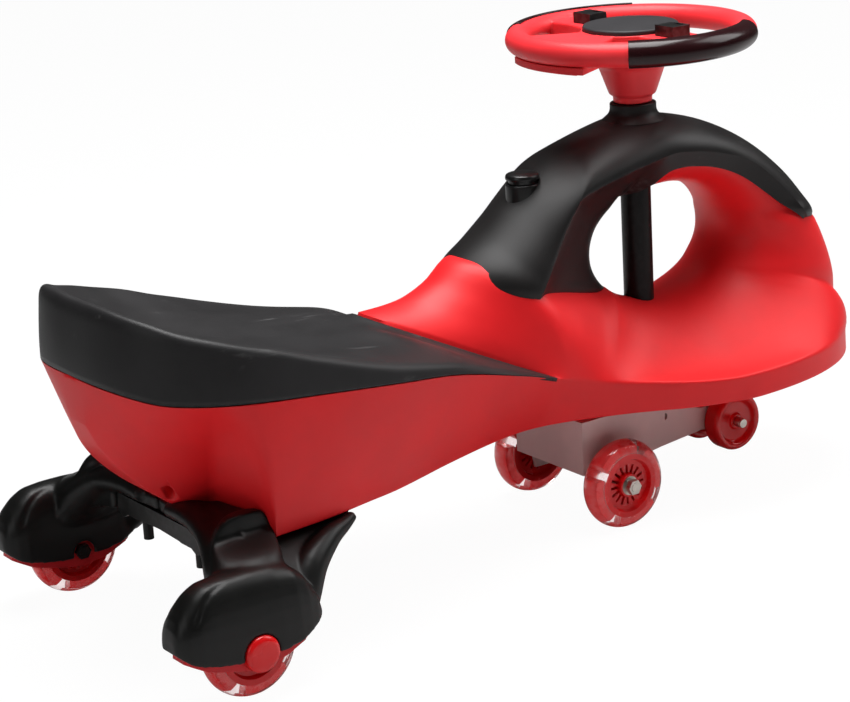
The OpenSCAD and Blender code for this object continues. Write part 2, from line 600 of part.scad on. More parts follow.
// The spring is one unbroken wire between the bezel's floor and the knob
coil_low = horn_floor - horn_deep + coil_wire / 2 + snug;
coil_high = knob_gap - coil_wire / 2 - snug;
function coil_at(a) = [coil_r * cos(a), coil_r * sin(a), lerp(coil_low, coil_high, a / (360 * coil_turns))];
function coil_ring(k) =
    let (a = 360 * coil_turns * k / (coil_turns * coil_steps), p = coil_at(a))
    let (run = unit([-coil_r * sin(a), coil_r * cos(a), (coil_high - coil_low) / (coil_turns * 2 * PI)]))
    let (side = [cos(a), sin(a), 0], up = cross(run, side))
    [for (i = [0 : coil_sides - 1]) let (b = 360 * i / coil_sides)
        p + coil_wire / 2 * (cos(b) * side + sin(b) * up)];
coil_pitch = (coil_high - coil_low) / coil_turns;
echo(spring_space_between_coils = coil_pitch - coil_wire);
module horn_spring() {
    color("silver")
        at_horn()
            patchwork(loft([for (k = [0 : coil_turns * coil_steps]) coil_ring(k)]));
}

// Rear wheels: fender with its leg, liner, axle and cap; drawn for the right side
rear_x = place_x(-308);
rear_y = rear_track / 2;
bolt_d = 5;
lift = wheel_r - 37.5;
fender_wall = 3;
fender_x = [-63.5, -62, -59, -54, -46, -36, -20, 0, 20, 35, 45, 53, 57, 59];
fender_top = [[-63.5, 60], [-62, 70], [-59, 79], [-54, 86], [-46, 92], [-26, 96], [8, 96], [33, 92], [45, 83],
    [53, 71], [57, 61], [59, 54]];
fender_low = [[-63.5, 51], [-54, 43], [-42, 39], [-12, 34], [8, 34], [33, 36], [50, 43], [59, 49]];
fender_half = [[-63.5, 9], [-62, 12], [-59, 15], [-54, 18], [-46, 20], [-26, 21.5], [8, 21.5], [35, 20], [53, 15],
    [57, 12], [59, 9]];
fender_round = 16;
function fender_ring(x, wall, open) =
    let (top = curve(fender_top, x) - wall, low = curve(fender_low, x) - open, half = curve(fender_half, x) - wall)
    let (fill = open > 0 ? 3.6 : 2.8)
    [for (i = [0 : fender_round]) let (a = 180 * i / fender_round, c = cos(a))
        [rear_x + x * (1 - wall / 61), -rear_y - half * sign(c) * super_round(abs(c), fill),
            lift + low + (top - low) * super_round(sin(a), fill)]];
module fender_block(wall, open) {
    patchwork(loft([for (x = fender_x) fender_ring(x, wall, open)]));
}
// Leg from the underside of the body down into the fender: a blade in front, thick behind and below
leg_high = [[0, 0], [0.3, 0.27], [0.6, 0.62], [1, 1]];
blade_front_x = [[0, -176], [0.25, -203], [0.6, -226], [1, -252]];
blade_front_y = [[0, 86], [0.25, 102], [0.6, 120], [1, 132]];
blade_back_x = [[0, -306], [0.25, -318], [0.6, -330], [1, -340]];
blade_back_y = [[0, 82], [0.25, 98], [0.6, 118], [1, 130]];
blade_n = 8;
blade_round = 18;
function blade_ring(t) =
    let (f = [place_x(curve(blade_front_x, t)), -curve(blade_front_y, t) - rear_y + 134],
        b = [place_x(curve(blade_back_x, t)), -curve(blade_back_y, t) - rear_y + 134])
    let (way = unit(f - b), off = [-way[1], way[0]], z = lerp(floor_height - seam, 60 + lift, curve(leg_high, t)))
    [for (i = [0 : blade_round - 1])
        let (a = 360 * i / blade_round, s = (1 - cos(a)) / 2, h = lerp(13, 5, s) + 8 * ease(t))
        let (q = lerp(b, f, s) + off * h * sin(a)) [q[0], q[1], z]];
module fender_leg() {
    patchwork(loft([for (i = [0 : blade_n]) blade_ring(i / blade_n)]));
}
// The leg's neck behind the body's side: [height, x, y, half length, half width]
neck = [[76, -305, -132, 32, 19], [88, -298, -124, 30, 20], [98, -292, -114, 28, 19], [108, -287, -106, 26, 17],
    [118, -284, -101, 22, 13], [123, -283, -99, 15, 8]];
function neck_ring(r) =
    [for (i = [0 : blade_round - 1]) let (a = 360 * i / blade_round)
        place([r[1] + r[3] * cos(a), r[2] - r[4] * sin(a), r[0]])];
// The rest under the keel that joins the neck to the middle: [y, rear edge, height of that edge, bottom]
keel_rest = [[-0.2, -300, 117, 100], [-30, -300, 116, 100], [-44, -301, 109, 100], [-66, -302, 109, 100],
    [-66.4, -302, 109, 85], [-80, -303, 110, 83], [-98, -304, 112, 79]];
function rest_ring(r) =
    [for (q = [[r[1], r[3]], [-258, r[3]], [-258, 119], [-276, 119], [r[1], r[2]]])
        place([q[0], r[0], q[1]]) + [0, 0, snug]];
module leg_neck() {
    difference() {
        union() {
            patchwork(loft([for (r = neck) neck_ring(r)]));
            patchwork(loft([for (r = keel_rest) rest_ring(r)]));
        }
        translate([-0.4, 0, -0.4])
            body_solid();
    }
}
module at_rear_axle() {
    translate([rear_x, -rear_y, wheel_r])
        rotate([90, 0, 0])
            children();
}
cap_r = 14;
cap_out = 24.5;
liner_half = 15.6;
module fender() {
    color("#0c0c0c")
        difference() {
            resize([0, 0, 0])
                difference() {
                    union() {
                        fender_block(0, 0);
                        fender_leg();
                        leg_neck();
                    }
                    fender_block(fender_wall, 30);
                }
            at_rear_axle() {
                cylinder(r = cap_r + 0.4, h = 60);
                translate([0, 0, -60])
                    cylinder(r = 9, h = 60);
            }
            frame_screw_places()
                translate([0, 0, floor_height - 1])
                    cylinder(d = bolt_d + 2 * snug, h = 24, $fn = 24);
        }
}
// Liner: two cheeks and a roof inside the fender, with the axle holes
liner_side = [[-57, 42], [-54, 58], [-46, 74], [-30, 84], [5, 86], [26, 82], [36, 72], [44, 58], [49, 44], [44, 35],
    [20, 27], [0, 24], [-20, 28], [-42, 34]];
liner_plan = [[-58, 7], [-52, 11], [-44, 14], [-34, liner_half], [26, liner_half], [40, 13], [50, 8]];
liner_front = [[-liner_half, 0], [-liner_half, 60], [-9, 85], [9, 85], [liner_half, 60], [liner_half, 0]];
module liner() {
    color("red")
        difference() {
            intersection() {
                translate([rear_x - 80, -rear_y, lift])
                    rotate([90, 0, 90])
                        linear_extrude(160)
                            polygon(liner_front);
                translate([rear_x, -rear_y + 40, lift])
                    rotate([90, 0, 0])
                        linear_extrude(80)
                            polygon(liner_side);
                translate([rear_x, -rear_y, 0])
                    linear_extrude(150)
                        polygon(concat(liner_plan, [for (k = [len(liner_plan) - 1 : -1 : 0])
                            [liner_plan[k][0], -liner_plan[k][1]]]));
            }
            at_rear_axle() {
                translate([0, 0, -tyre_width / 2 - 2])
                    cylinder(r = wheel_r + 3.5, h = tyre_width + 4);
                translate([0, 0, -60])
                    cylinder(r = axle_r + snug, h = 120);
            }
        }
}
module rear_axle() {
    color("silver")
        at_rear_axle() {
            translate([0, 0, -liner_half - 5])
                cylinder(r = axle_r, h = 2 * liner_half + 9);
            translate([0, 0, liner_half + snug])
                cylinder(r = axle_r + 2.6, h = 4.4, $fn = 6);
            translate([0, 0, -liner_half - snug - 4.4])
                cylinder(r = axle_r + 2.6, h = 4.4, $fn = 6);
        }
}
module axle_cap() {
    color("red")
        at_rear_axle()
            difference() {
                union() {
                    translate([0, 0, liner_half + snug])
                        cylinder(r = cap_r, h = cap_out - liner_half - 1.5);
                    translate([0, 0, cap_out - 1.5 + snug])
                        cylinder(r1 = cap_r, r2 = cap_r - 1.5, h = 1.5);
                }
                cylinder(r = axle_r + 3.2, h = liner_half + 5);
            }
}
// Crossbar under the stern that carries both legs
bar_half = 62;
peg_r = 4;
module frame_screw_places() {
    for (x = [-282, -252], s = [-1, 1])
        translate([place_x(x), 24 * s, 0])
            children();
}
module rear_frame() {
    top = floor_height - seam;
    color("#0e0e0e")
        difference() {
            union() {
                translate([place_x(-300), 0, 0])
                    rotate([90, 0, 90])
                        linear_extrude(66)
                            polygon([[-bar_half, top], [bar_half, top], [bar_half + 3, top - 14],
                                [bar_half - 6, top - 19],
                                [48, top - 15], [33, top - 15], [30, top - 14.3], [0, top - 13],
                                [-30, top - 14.3], [-33, top - 15], [-48, top - 15], [6 - bar_half, top - 19],
                                [-bar_half - 3, top - 14]]);
                for (s = [-1, 1])
                    translate([place_x(-288), 40 * s, top - 35])
                        cylinder(r = peg_r, h = 21, $fn = 32);
            }
            for (s = [-1, 1])
                translate([place_x(-263), s > 0 ? 31 : -55, top - 30])
                    cube([25, 24, 25]);
            frame_screw_places()
                translate([0, 0, top - 40])
                    cylinder(d = bolt_d + 2 * snug, h = 60, $fn = 24);
        }
}
module frame_screws() {
    top = floor_height - seam;
    color("silver")
        frame_screw_places() {
            translate([0, 0, top - 18.2])
                cylinder(r = 4.6, h = 3.5, $fn = 6);
            translate([0, 0, top - 16])
                cylinder(d = bolt_d, h = 30, $fn = 24);
        }
}

// Wheels turn about Y; their parts are drawn about Z and laid over
module on_wheel(x, y, z) {
    translate([x, y, z])
        rotate([90, 0, 0])
            children();
}
core_r = core_diameter / 2;
core_half = tyre_width / 2 - 0.5;
bearing_r = 8;
bearing_w = 5;
hub_wall = 1.6;
slot_long = 7.5;
module tyre() {
    color([0.85, 0.35, 0.37])
        rotate_extrude($fn = 96)
            intersection() {
                translate([wheel_r - 14, 0])
                    circle(r = 14, $fn = 96);
                translate([core_r + snug, -tyre_width / 2])
                    square([40, tyre_width]);
            }
}
module core() {
    step = core_half - bearing_w - 0.2;
    color("red")
        difference() {
            rotate_extrude($fn = 96)
                polygon([[6.5, -step], [bearing_r + snug, -step], [bearing_r + snug, -core_half],
                    [bearing_r + hub_wall, -core_half], [bearing_r + hub_wall + 1, -core_half + 4],
                    [core_r - 6, -core_half + 4], [core_r - 4.5, -core_half],
                    [core_r, -core_half], [core_r, core_half], [core_r - 4.5, core_half],
                    [core_r - 6, core_half - 4], [bearing_r + hub_wall + 1, core_half - 4],
                    [bearing_r + hub_wall, core_half], [bearing_r + snug, core_half],
                    [bearing_r + snug, step], [6.5, step]]);
            for (k = [0 : core_slots - 1])
                rotate(360 * k / core_slots)
                    translate([bearing_r + hub_wall + 0.2, -1.1, -20])
                        cube([slot_long, 2.2, 40]);
        }
}
module bearings() {
    color("silver")
        for (s = [-1, 1])
            translate([0, 0, s * (core_half - bearing_w / 2)])
                difference() {
                    cylinder(r = bearing_r, h = bearing_w, center = true);
                    cylinder(r = axle_r + running, h = 20, center = true);
                    for (f = [-1, 1])
                        translate([0, 0, f * bearing_w / 2])
                            difference() {
                                cylinder(r = bearing_r - 1.3, h = 0.8, center = true);
                                cylinder(r = axle_r + 1.6, h = 2, center = true);
                            }
                }
}
module guide_wheel() {
    r = guide_diameter / 2;
    h = guide_width / 2;
    color("red")
        rotate_extrude($fn = 96)
            polygon([[axle_r + running, -h - 1], [axle_r + 3.5, -h - 1], [axle_r + 4, -h + 2.5], [r - 6.5, -h + 2.5],
                [r - 5, -h], [r - 2, -h], [r - 0.5, -h + 1], [r, -h + 3], [r, h - 3], [r - 0.5, h - 1], [r - 2, h],
                [r - 5, h], [r - 6.5, h - 2.5], [axle_r + 4, h - 2.5], [axle_r + 3.5, h + 1],
                [axle_r + running, h + 1]]);
}

// Carriage under the floor: an inverted channel on the column, with the wheels of the front
front_x = place_x(100.5);
front_y = front_track / 2;
guide_x = place_x(257.6);
guide_y = guide_track / 2;
guide_z = guide_diameter / 2 + 19.9;
carriage_half = front_y - tyre_width / 2 - 5.5;
arm_half = guide_y - guide_width / 2 - 3;
channel_wall = 3;
column_foot = floor_height - 42;
module carriage_plan(off) {
    polygon([[front_x - 28 + off, -carriage_half + off], [front_x + 28, -carriage_half + off],
        [column_x - 8, -32 + off], [guide_x - 34, -arm_half - 6 + off], [guide_x - 18, -arm_half + off],
        [guide_x + 12 - off, -arm_half + off], [guide_x + 12 - off, arm_half - off], [guide_x - 18, arm_half - off],
        [guide_x - 34, arm_half + 6 - off], [column_x - 8, 32 - off], [front_x + 28, carriage_half - off],
        [front_x - 28 + off, carriage_half - off]]);
}
module carriage_side(off, open) {
    top = carriage_top - off;
    polygon([[front_x - 29, 46 - open], [front_x - 14, 46 - open], [front_x - 11, wheel_r - 10 - open],
        [front_x + 11, wheel_r - 10 - open], [front_x + 16, 46 - open], [column_x - 20, 46 - open],
        [guide_x - 30, 42 - open], [guide_x - 10, guide_z - 9 - open], [guide_x + 13, guide_z - 9 - open],
        [guide_x + 13, guide_z + 11 - off], [guide_x - 30, guide_z + 16 - off], [column_x - 20, top - 3],
        [front_x + 30, top], [front_x - 29, top]]);
}
module side_wall(half) {
    rotate([90, 0, 0])
        linear_extrude(2 * half, center = true)
            children();
}
boss_r = column_r + 5;
module carriage() {
    color("#d8d8d8")
        difference() {
            union() {
                difference() {
                    intersection() {
                        linear_extrude(150)
                            carriage_plan(0);
                        side_wall(100)
                            carriage_side(0, 0);
                    }
                    intersection() {
                        linear_extrude(150)
                            carriage_plan(channel_wall);
                        side_wall(100)
                            carriage_side(channel_wall, 20);
                    }
                }
                at_column()
                    translate([0, 0, column_foot - 4])
                        cylinder(r = boss_r, h = carriage_top - column_foot + 4);
                on_wheel(front_x, 0, wheel_r)
                    for (s = [-1, 1])
                        translate([0, 0, s * (carriage_half + 2) - 2.5])
                            cylinder(r = axle_r + 3, h = 5);
                on_wheel(guide_x, 0, guide_z)
                    translate([0, 0, -arm_half])
                        cylinder(r = axle_r + 4, h = 2 * arm_half);
            }
            at_column()
                translate([0, 0, column_foot])
                    cylinder(r = column_r + snug, h = 60);
            at_column()
                translate([0, 0, column_foot - 10])
                    cylinder(r = 6, h = 20);
            at_column()
                translate([0, 0, column_foot + 12])
                    rotate([90, 0, 0])
                        cylinder(r = 3 + snug, h = 60, center = true);
            on_wheel(front_x, 0, wheel_r)
                cylinder(r = axle_r + snug, h = 200, center = true);
            on_wheel(guide_x, 0, guide_z)
                cylinder(r = axle_r + snug, h = 200, center = true);
        }
}
module king_bolt() {
    color("silver")
        at_column()
            translate([0, 0, column_foot + 12])
                rotate([90, 0, 0]) {
                    cylinder(r = 3, h = 2 * boss_r + 2 * snug, center = true, $fn = 32);
                    for (s = [-1, 1])
                        translate([0, 0, s * (boss_r + snug + 2) - 2])
                            cylinder(r = 5.2, h = 4, $fn = 6);
                }
}
module column() {
    color("#1a1a1a")
        at_column()
            difference() {
                translate([0, 0, column_foot + snug])
                    cylinder(r = column_r, h = hub_socket - column_foot - 2 * snug);
                translate([0, 0, column_foot - 1])
                    cylinder(r = column_r - column_wall, h = 500);
                translate([0, 0, column_foot + 12])
                    rotate([90, 0, 0])
                        cylinder(r = 3 + snug, h = 60, center = true, $fn = 32);
            }
}
front_end = front_y + tyre_width / 2 + 1.2;
guide_end = guide_y + guide_width / 2 + 1.6;
module axle_bolt(x, z, end) {
    color("silver")
        on_wheel(x, 0, z)
            cylinder(r = axle_r, h = 2 * end + 11, center = true);
}
module end_nuts(x, z, end) {
    color("silver")
        on_wheel(x, 0, z)
            for (s = [-1, 1])
                translate([0, 0, s * (end + 2.6) - 2.5])
                    difference() {
                        cylinder(r = axle_r + 2.7, h = 5, $fn = 6);
                        translate([0, 0, -1])
                            cylinder(r = axle_r + snug, h = 10);
                    }
}

// Steering wheel
rim_z = arch_height + rim_rise;
rim_r = rim_thickness / 2;
rim_ring = rim_diameter / 2 - grip_wall - rim_r;
hub_low = collar_top + 0.6;
hub_socket = rim_z - 28;
hub_r = 41;
pad_r = 39.5;
spoke_top = rim_z + 5;
spoke_low = rim_z - 8;
hub_top = rim_z + 6;
pad_low = rim_z + 1;
button_r = 52.5;
button_long = 22;
button_wide = 18;
button_high = 8.5;
module fan_shape(r1, r2, half) {
    intersection() {
        difference() {
            circle(r = r2, $fn = 96);
            circle(r = r1, $fn = 96);
        }
        polygon([[0, 0], [-200, -200 * tan(half)], [-200, 200 * tan(half)]]);
    }
}
module wheel_screw_places() {
    for (a = [60, 180, 300])
        rotate(a)
            translate([33, 0, 0])
                children();
}
module button_places() {
    for (s = [-1, 1])
        translate([0, s * button_r, 0])
            children();
}
module steering_wheel() {
    color([0.93, 0.25, 0.27])
        at_column()
            difference() {
                union() {
                    translate([0, 0, rim_z])
                        rotate_extrude($fn = 128)
                            translate([rim_ring, 0])
                                circle(r = rim_r, $fn = 48);
                    rotate_extrude($fn = 96)
                        polygon([[0, hub_low], [16.2, hub_low], [16.2, hub_low + 5], [19.5, hub_low + 7],
                            [27.5, rim_z - 26], [33, rim_z - 19], [hub_r, rim_z - 12], [hub_r, hub_top],
                            [0, hub_top]]);
                    for (s = [-1, 1])
                        translate([0, 0, spoke_low])
                            linear_extrude(spoke_top - spoke_low)
                                polygon([[-22, 30 * s], [-17, 60 * s], [-18, (rim_ring - 3) * s],
                                    [18, (rim_ring - 3) * s], [17, 60 * s], [22, 30 * s]]);
                    translate([0, 0, spoke_low])
                        linear_extrude(spoke_top - spoke_low)
                            fan_shape(30, rim_ring - 2, 30);
                }
                translate([0, 0, hub_low - 1])
                    cylinder(r = column_r + snug, h = hub_socket - hub_low + 1);
                translate([0, 0, pad_low])
                    cylinder(r = pad_r + seam, h = 30);
                button_places()
                    translate([-button_wide / 2 - seam, -button_long / 2 - seam, spoke_top - 6])
                        cube([button_wide + 2 * seam, button_long + 2 * seam, 20]);
                wheel_screw_places()
                    translate([0, 0, rim_z - 60])
                        cylinder(d = screw_d + 2 * snug, h = 58, $fn = 24);
                wheel_screw_places()
                    translate([0, 0, rim_z - 60])
                        cylinder(d = head_d + 2 * seam, h = 48, $fn = 32);
            }
}
module grip(turn) {
    color("#301416")
        at_column()
            translate([0, 0, rim_z])
                rotate(turn - 41)
                    rotate_extrude(angle = 82, $fn = 128)
                        translate([rim_ring, 0])
                            difference() {
                                circle(r = rim_r + grip_wall, $fn = 48);
                                circle(r = rim_r + snug, $fn = 48);
                                translate([-40 - 2, -20])
                                    square([40, 40]);
                            }
}
module centre_pad() {
    dome = 3;
    thick = 8;
    round_r = (pad_r * pad_r + dome * dome) / (2 * dome);
    color("#141414")
        at_column()
            translate([0, 0, pad_low + snug]) {
                cylinder(r = pad_r, h = thick);
                intersection() {
                    translate([0, 0, thick - 1])
                        cylinder(r = pad_r, h = 20);
                    translate([0, 0, thick + dome - round_r])
                        sphere(r = round_r, $fn = 128);
                }
            }
}
module sound_button(s) {
    color("#101010")
        at_column()
            translate([0, s * button_r, spoke_top + button_high]) {
                difference() {
                    translate([-button_wide / 2, -button_long / 2, -button_high - 6 + button_travel + 0.6])
                        cube([button_wide, button_long, button_high + 5.4 - button_travel]);
                    translate([0, 0, 24 - 0.9])
                        rotate([0, 90, 0])
                            cylinder(r = 24, h = 14, center = true, $fn = 96);
                }
            }
}
box_low = rim_z - 16;
box_out = rim_ring - rim_r - 1.4;
module battery_box() {
    color([0.9, 0.2, 0.22])
        at_column()
            difference() {
                union() {
                    translate([0, 0, box_low])
                        linear_extrude(spoke_low - box_low - snug)
                            fan_shape(54, box_out, 27);
                    translate([0, 0, box_low])
                        linear_extrude(rim_z - rim_r - box_low - seam)
                            fan_shape(54, rim_ring + 4, 27);
                }
                translate([0, 0, box_low + 2])
                    linear_extrude(spoke_low - box_low)
                        fan_shape(58, box_out - 2, 23);
                rotate(180)
                    translate([box_out - 12, 0, 0])
                        cylinder(d = screw_d + 2 * snug, h = 600, $fn = 24);
            }
}
module battery_lid() {
    color([0.85, 0.18, 0.2])
        at_column()
            difference() {
                translate([0, 0, box_low - 2 - snug])
                    linear_extrude(2)
                        fan_shape(58, rim_ring - 4, 21);
                rotate(180)
                    translate([box_out - 12, 0, 0])
                        cylinder(d = screw_d + 2 * snug, h = 600, $fn = 24);
            }
}
module wheel_screws() {
    color("silver")
        at_column() {
            wheel_screw_places() {
                translate([0, 0, rim_z - 14])
                    cylinder(d = head_d, h = 2 - snug, $fn = 32);
                translate([0, 0, rim_z - 13])
                    cylinder(d = screw_d, h = 9, $fn = 24);
            }
            rotate(180)
                translate([box_out - 12, 0, box_low - 2 - 2 * snug]) {
                    translate([0, 0, -1.6])
                        cylinder(d = head_d, h = 1.6, $fn = 32);
                    translate([0, 0, -0.5])
                        cylinder(d = screw_d, h = 4.5, $fn = 24);
                }
        }
}

module left() {
    mirror([0, 1, 0])
        children();
}
body_shell();
seat_cover();
arch_cover();
upper_bush();
lower_bush();
bush_screws();
horn_bezel();
horn_spring();
rear_frame();
frame_screws();
left() fender();  // fender_left
fender();  // fender_right
left() liner();  // liner_left
liner();  // liner_right
left() rear_axle();  // rear_axle_left
rear_axle();  // rear_axle_right
left() axle_cap();  // axle_cap_left
axle_cap();  // axle_cap_right
column();
steering_wheel();
grip(90);  // grip_left
grip(-90);  // grip_right
centre_pad();
battery_box();
battery_lid();
wheel_screws();
carriage();
king_bolt();
axle_bolt(front_x, wheel_r, front_end);  // front_axle
end_nuts(front_x, wheel_r, front_end);  // front_nuts
axle_bolt(guide_x, guide_z, guide_end);  // guide_axle
end_nuts(guide_x, guide_z, guide_end);  // guide_nuts
on_wheel(front_x, front_y, wheel_r) tyre();  // front_tyre_left
on_wheel(front_x, -front_y, wheel_r) tyre();  // front_tyre_right
on_wheel(front_x, front_y, wheel_r) core();  // front_core_left
on_wheel(front_x, -front_y, wheel_r) core();  // front_core_right
on_wheel(front_x, front_y, wheel_r) bearings();  // front_bearings_left
on_wheel(front_x, -front_y, wheel_r) bearings();  // front_bearings_right
on_wheel(rear_x, rear_y, wheel_r) tyre();  // rear_tyre_left
on_wheel(rear_x, -rear_y, wheel_r) tyre();  // rear_tyre_right
on_wheel(rear_x, rear_y, wheel_r) core();  // rear_core_left
on_wheel(rear_x, -rear_y, wheel_r) core();  // rear_core_right
on_wheel(rear_x, rear_y, wheel_r) bearings();  // rear_bearings_left
on_wheel(rear_x, -rear_y, wheel_r) bearings();  // rear_bearings_right
on_wheel(guide_x, guide_y, guide_z) guide_wheel();  // guide_wheel_left
on_wheel(guide_x, -guide_y, guide_z) guide_wheel();  // guide_wheel_right
horn_button();
sound_button(1);  // sound_button_left
sound_button(-1);  // sound_button_right
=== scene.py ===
"""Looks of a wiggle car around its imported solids. Metres, +X forward, +Y left, +Z up."""

import json
import logging
import math
from bisect import bisect_right
from dataclasses import dataclass
from enum import Enum
from typing import Callable, Dict, List, Optional, Sequence, Tuple, Union

import bmesh
import bpy
import numpy as np
from mathutils import Matrix, Vector


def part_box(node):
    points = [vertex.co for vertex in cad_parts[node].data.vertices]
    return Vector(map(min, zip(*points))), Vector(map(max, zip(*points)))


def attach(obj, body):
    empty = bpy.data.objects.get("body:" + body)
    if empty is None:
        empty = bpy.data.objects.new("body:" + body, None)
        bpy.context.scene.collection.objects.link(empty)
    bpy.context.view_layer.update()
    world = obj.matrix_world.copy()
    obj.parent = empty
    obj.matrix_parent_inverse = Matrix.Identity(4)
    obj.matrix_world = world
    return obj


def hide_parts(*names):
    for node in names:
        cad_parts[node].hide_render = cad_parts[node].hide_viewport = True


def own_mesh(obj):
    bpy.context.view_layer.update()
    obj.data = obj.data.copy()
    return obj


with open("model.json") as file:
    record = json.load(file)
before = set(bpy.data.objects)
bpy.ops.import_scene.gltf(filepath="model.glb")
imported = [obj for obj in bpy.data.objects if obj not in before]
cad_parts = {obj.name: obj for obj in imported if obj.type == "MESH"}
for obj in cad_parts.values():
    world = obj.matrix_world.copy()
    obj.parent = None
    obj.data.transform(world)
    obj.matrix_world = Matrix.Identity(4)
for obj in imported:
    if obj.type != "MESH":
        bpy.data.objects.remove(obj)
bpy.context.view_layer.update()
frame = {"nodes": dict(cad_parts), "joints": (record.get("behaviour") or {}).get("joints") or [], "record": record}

LOG = logging.getLogger("wiggle_car")
MM = 0.001
# The most of a line that the rounding at one of its ends takes up.
LEG_SHARE = 0.45
OUTLINE_SHARE = 0.48
RIGHT, LEFT = -1, 1
SIDES = (("right", RIGHT), ("left", LEFT))

Point = np.ndarray
Line = List[Point]
Controls = Tuple[Point, Point, Point, Point]
Rows = Tuple[Tuple[float, ...], ...]
Faces = List[Tuple[int, ...]]
Colour = Tuple[float, float, float, float]
Number = Union["Value", float]
Amount = Union[Point, float]
Piece = bpy.types.Object
# The low and high end of a shader's band, and the start and length of a smooth step.
Band = Tuple[float, float]
Step = Tuple[float, float]


def srgb(red: int, green: int, blue: int) -> Colour:
    """Turns a screen colour into linear light.

    Args:
        red, green, blue: screen levels from 0 to 255.

    Returns:
        The linear colour with full alpha.
    """
    def linear(level: int) -> float:
        """One channel."""
        c = level / 255
        return c / 12.92 if c <= 0.04045 else ((c + 0.055) / 1.055) ** 2.4

    return (linear(red), linear(green), linear(blue), 1.0)


def shade(colour: Colour, k: float) -> Colour:
    """The colour times k, kept below 1."""
    return tuple(min(1.0, c * k) for c in colour[:3]) + (1.0,)


class Value:
    """A shader socket that takes part in Python arithmetic."""

    def __init__(self, shader: "Shader", socket: Optional[bpy.types.NodeSocket]) -> None:
        """Keeps the socket and the shader that it belongs to."""
        self.shader = shader
        self.socket = socket

    def _math(self, operation: str, first: Number, second: Number) -> "Value":
        """Adds one Math node."""
        return self.shader.add("ShaderNodeMath", {"operation": operation}, {0: first, 1: second})

    def __add__(self, other: Number) -> "Value":
        """self + other"""
        return self._math("ADD", self, other)

    def __radd__(self, other: Number) -> "Value":
        """other + self"""
        return self._math("ADD", other, self)

    def __sub__(self, other: Number) -> "Value":
        """self - other"""
        return self._math("SUBTRACT", self, other)

    def __rsub__(self, other: Number) -> "Value":
        """other - self"""
        return self._math("SUBTRACT", other, self)

    def __mul__(self, other: Number) -> "Value":
        """self * other"""
        return self._math("MULTIPLY", self, other)

    def __rmul__(self, other: Number) -> "Value":
        """other * self"""
        return self._math("MULTIPLY", other, self)

    def band(self, low: float, high: float) -> "Value":
        """A smooth step from 0 at low to 1 at high."""
        return self.shader.add("ShaderNodeMapRange", {"interpolation_type": "SMOOTHSTEP"},
                               {"Value": self, "From Min": low, "From Max": high})


class Shader:
    """One node tree under construction, a material's or the world's."""

    def __init__(self, name: str, owner: Union[bpy.types.World, None] = None) -> None:
        """Starts an empty tree in the owner, or in a new material of that name.

        Args:
            name: a new material's name.
            owner: the world, if the tree is for it.
        """
        self.material = owner or bpy.data.materials.new(name)
        self.material.use_nodes = True
        self.tree = self.material.node_tree
        self.tree.nodes.clear()

    @property
    def place(self) -> Value:
        """The place on the piece, in metres."""
        return self.add("ShaderNodeTexCoord", output="Object")

    def add(self, kind: str, settings: Optional[dict] = None, inputs: Optional[dict] = None,
            output: Union[int, str] = 0) -> Value:
        """Adds one node.

        Args:
            kind: the node's type.
            settings: its own properties, set first.
            inputs: the value or link of each socket.
            output: the socket that is returned.

        Returns:
            That output as a value.
        """
        node = self.tree.nodes.new(kind)
        for key, value in (settings or {}).items():
            setattr(node, key, value)
        for key, value in (inputs or {}).items():
            if isinstance(value, Value):
                self.tree.links.new(value.socket, node.inputs[key])
            else:
                node.inputs[key].default_value = value
        return Value(self, node.outputs[output] if node.outputs else None)

    def noise(self, size: float, detail: float = 2.0, stretch: Sequence[float] = (1, 1, 1)) -> Value:
        """Noise whose blotches are about that many metres across.

        Args:
            size: the blotches' size.
            detail: octaves of finer noise.
            stretch: scale of the place along each axis.

        Returns:
            A value near 0.5.
        """
        spot = self.add("ShaderNodeMapping", {}, {"Vector": self.place, "Scale": tuple(stretch)})
        return self.add("ShaderNodeTexNoise", {}, {"Vector": spot, "Scale": 1 / size, "Detail": detail})

    def mix(self, factor: Number, first: Union[Value, Colour], second: Union[Value, Colour]) -> Value:
        """A colour between two colours."""
        return self.add("ShaderNodeMix", {"data_type": "RGBA"}, {0: factor, 6: first, 7: second}, 2)

    def bump(self, height: Value, depth: float) -> Value:
        """A normal from a height of 0 to 1 that is depth metres high."""
        return self.add("ShaderNodeBump", {}, {"Height": height, "Distance": depth, "Strength": 1.0})

    def surface(self, sockets: Dict[str, object]) -> bpy.types.Material:
        """Ends the material in one principled shader with these sockets.

        Args:
            sockets: the value or link of each socket.

        Returns:
            The material.
        """
        look = self.add("ShaderNodeBsdfPrincipled", {}, sockets)
        self.add("ShaderNodeOutputMaterial", {}, {"Surface": look})
        return self.material


class Grain(Enum):
    """The fine relief of a moulded skin."""

    POLISHED = "polished"
    SATIN = "satin"
    LEATHER = "leather"


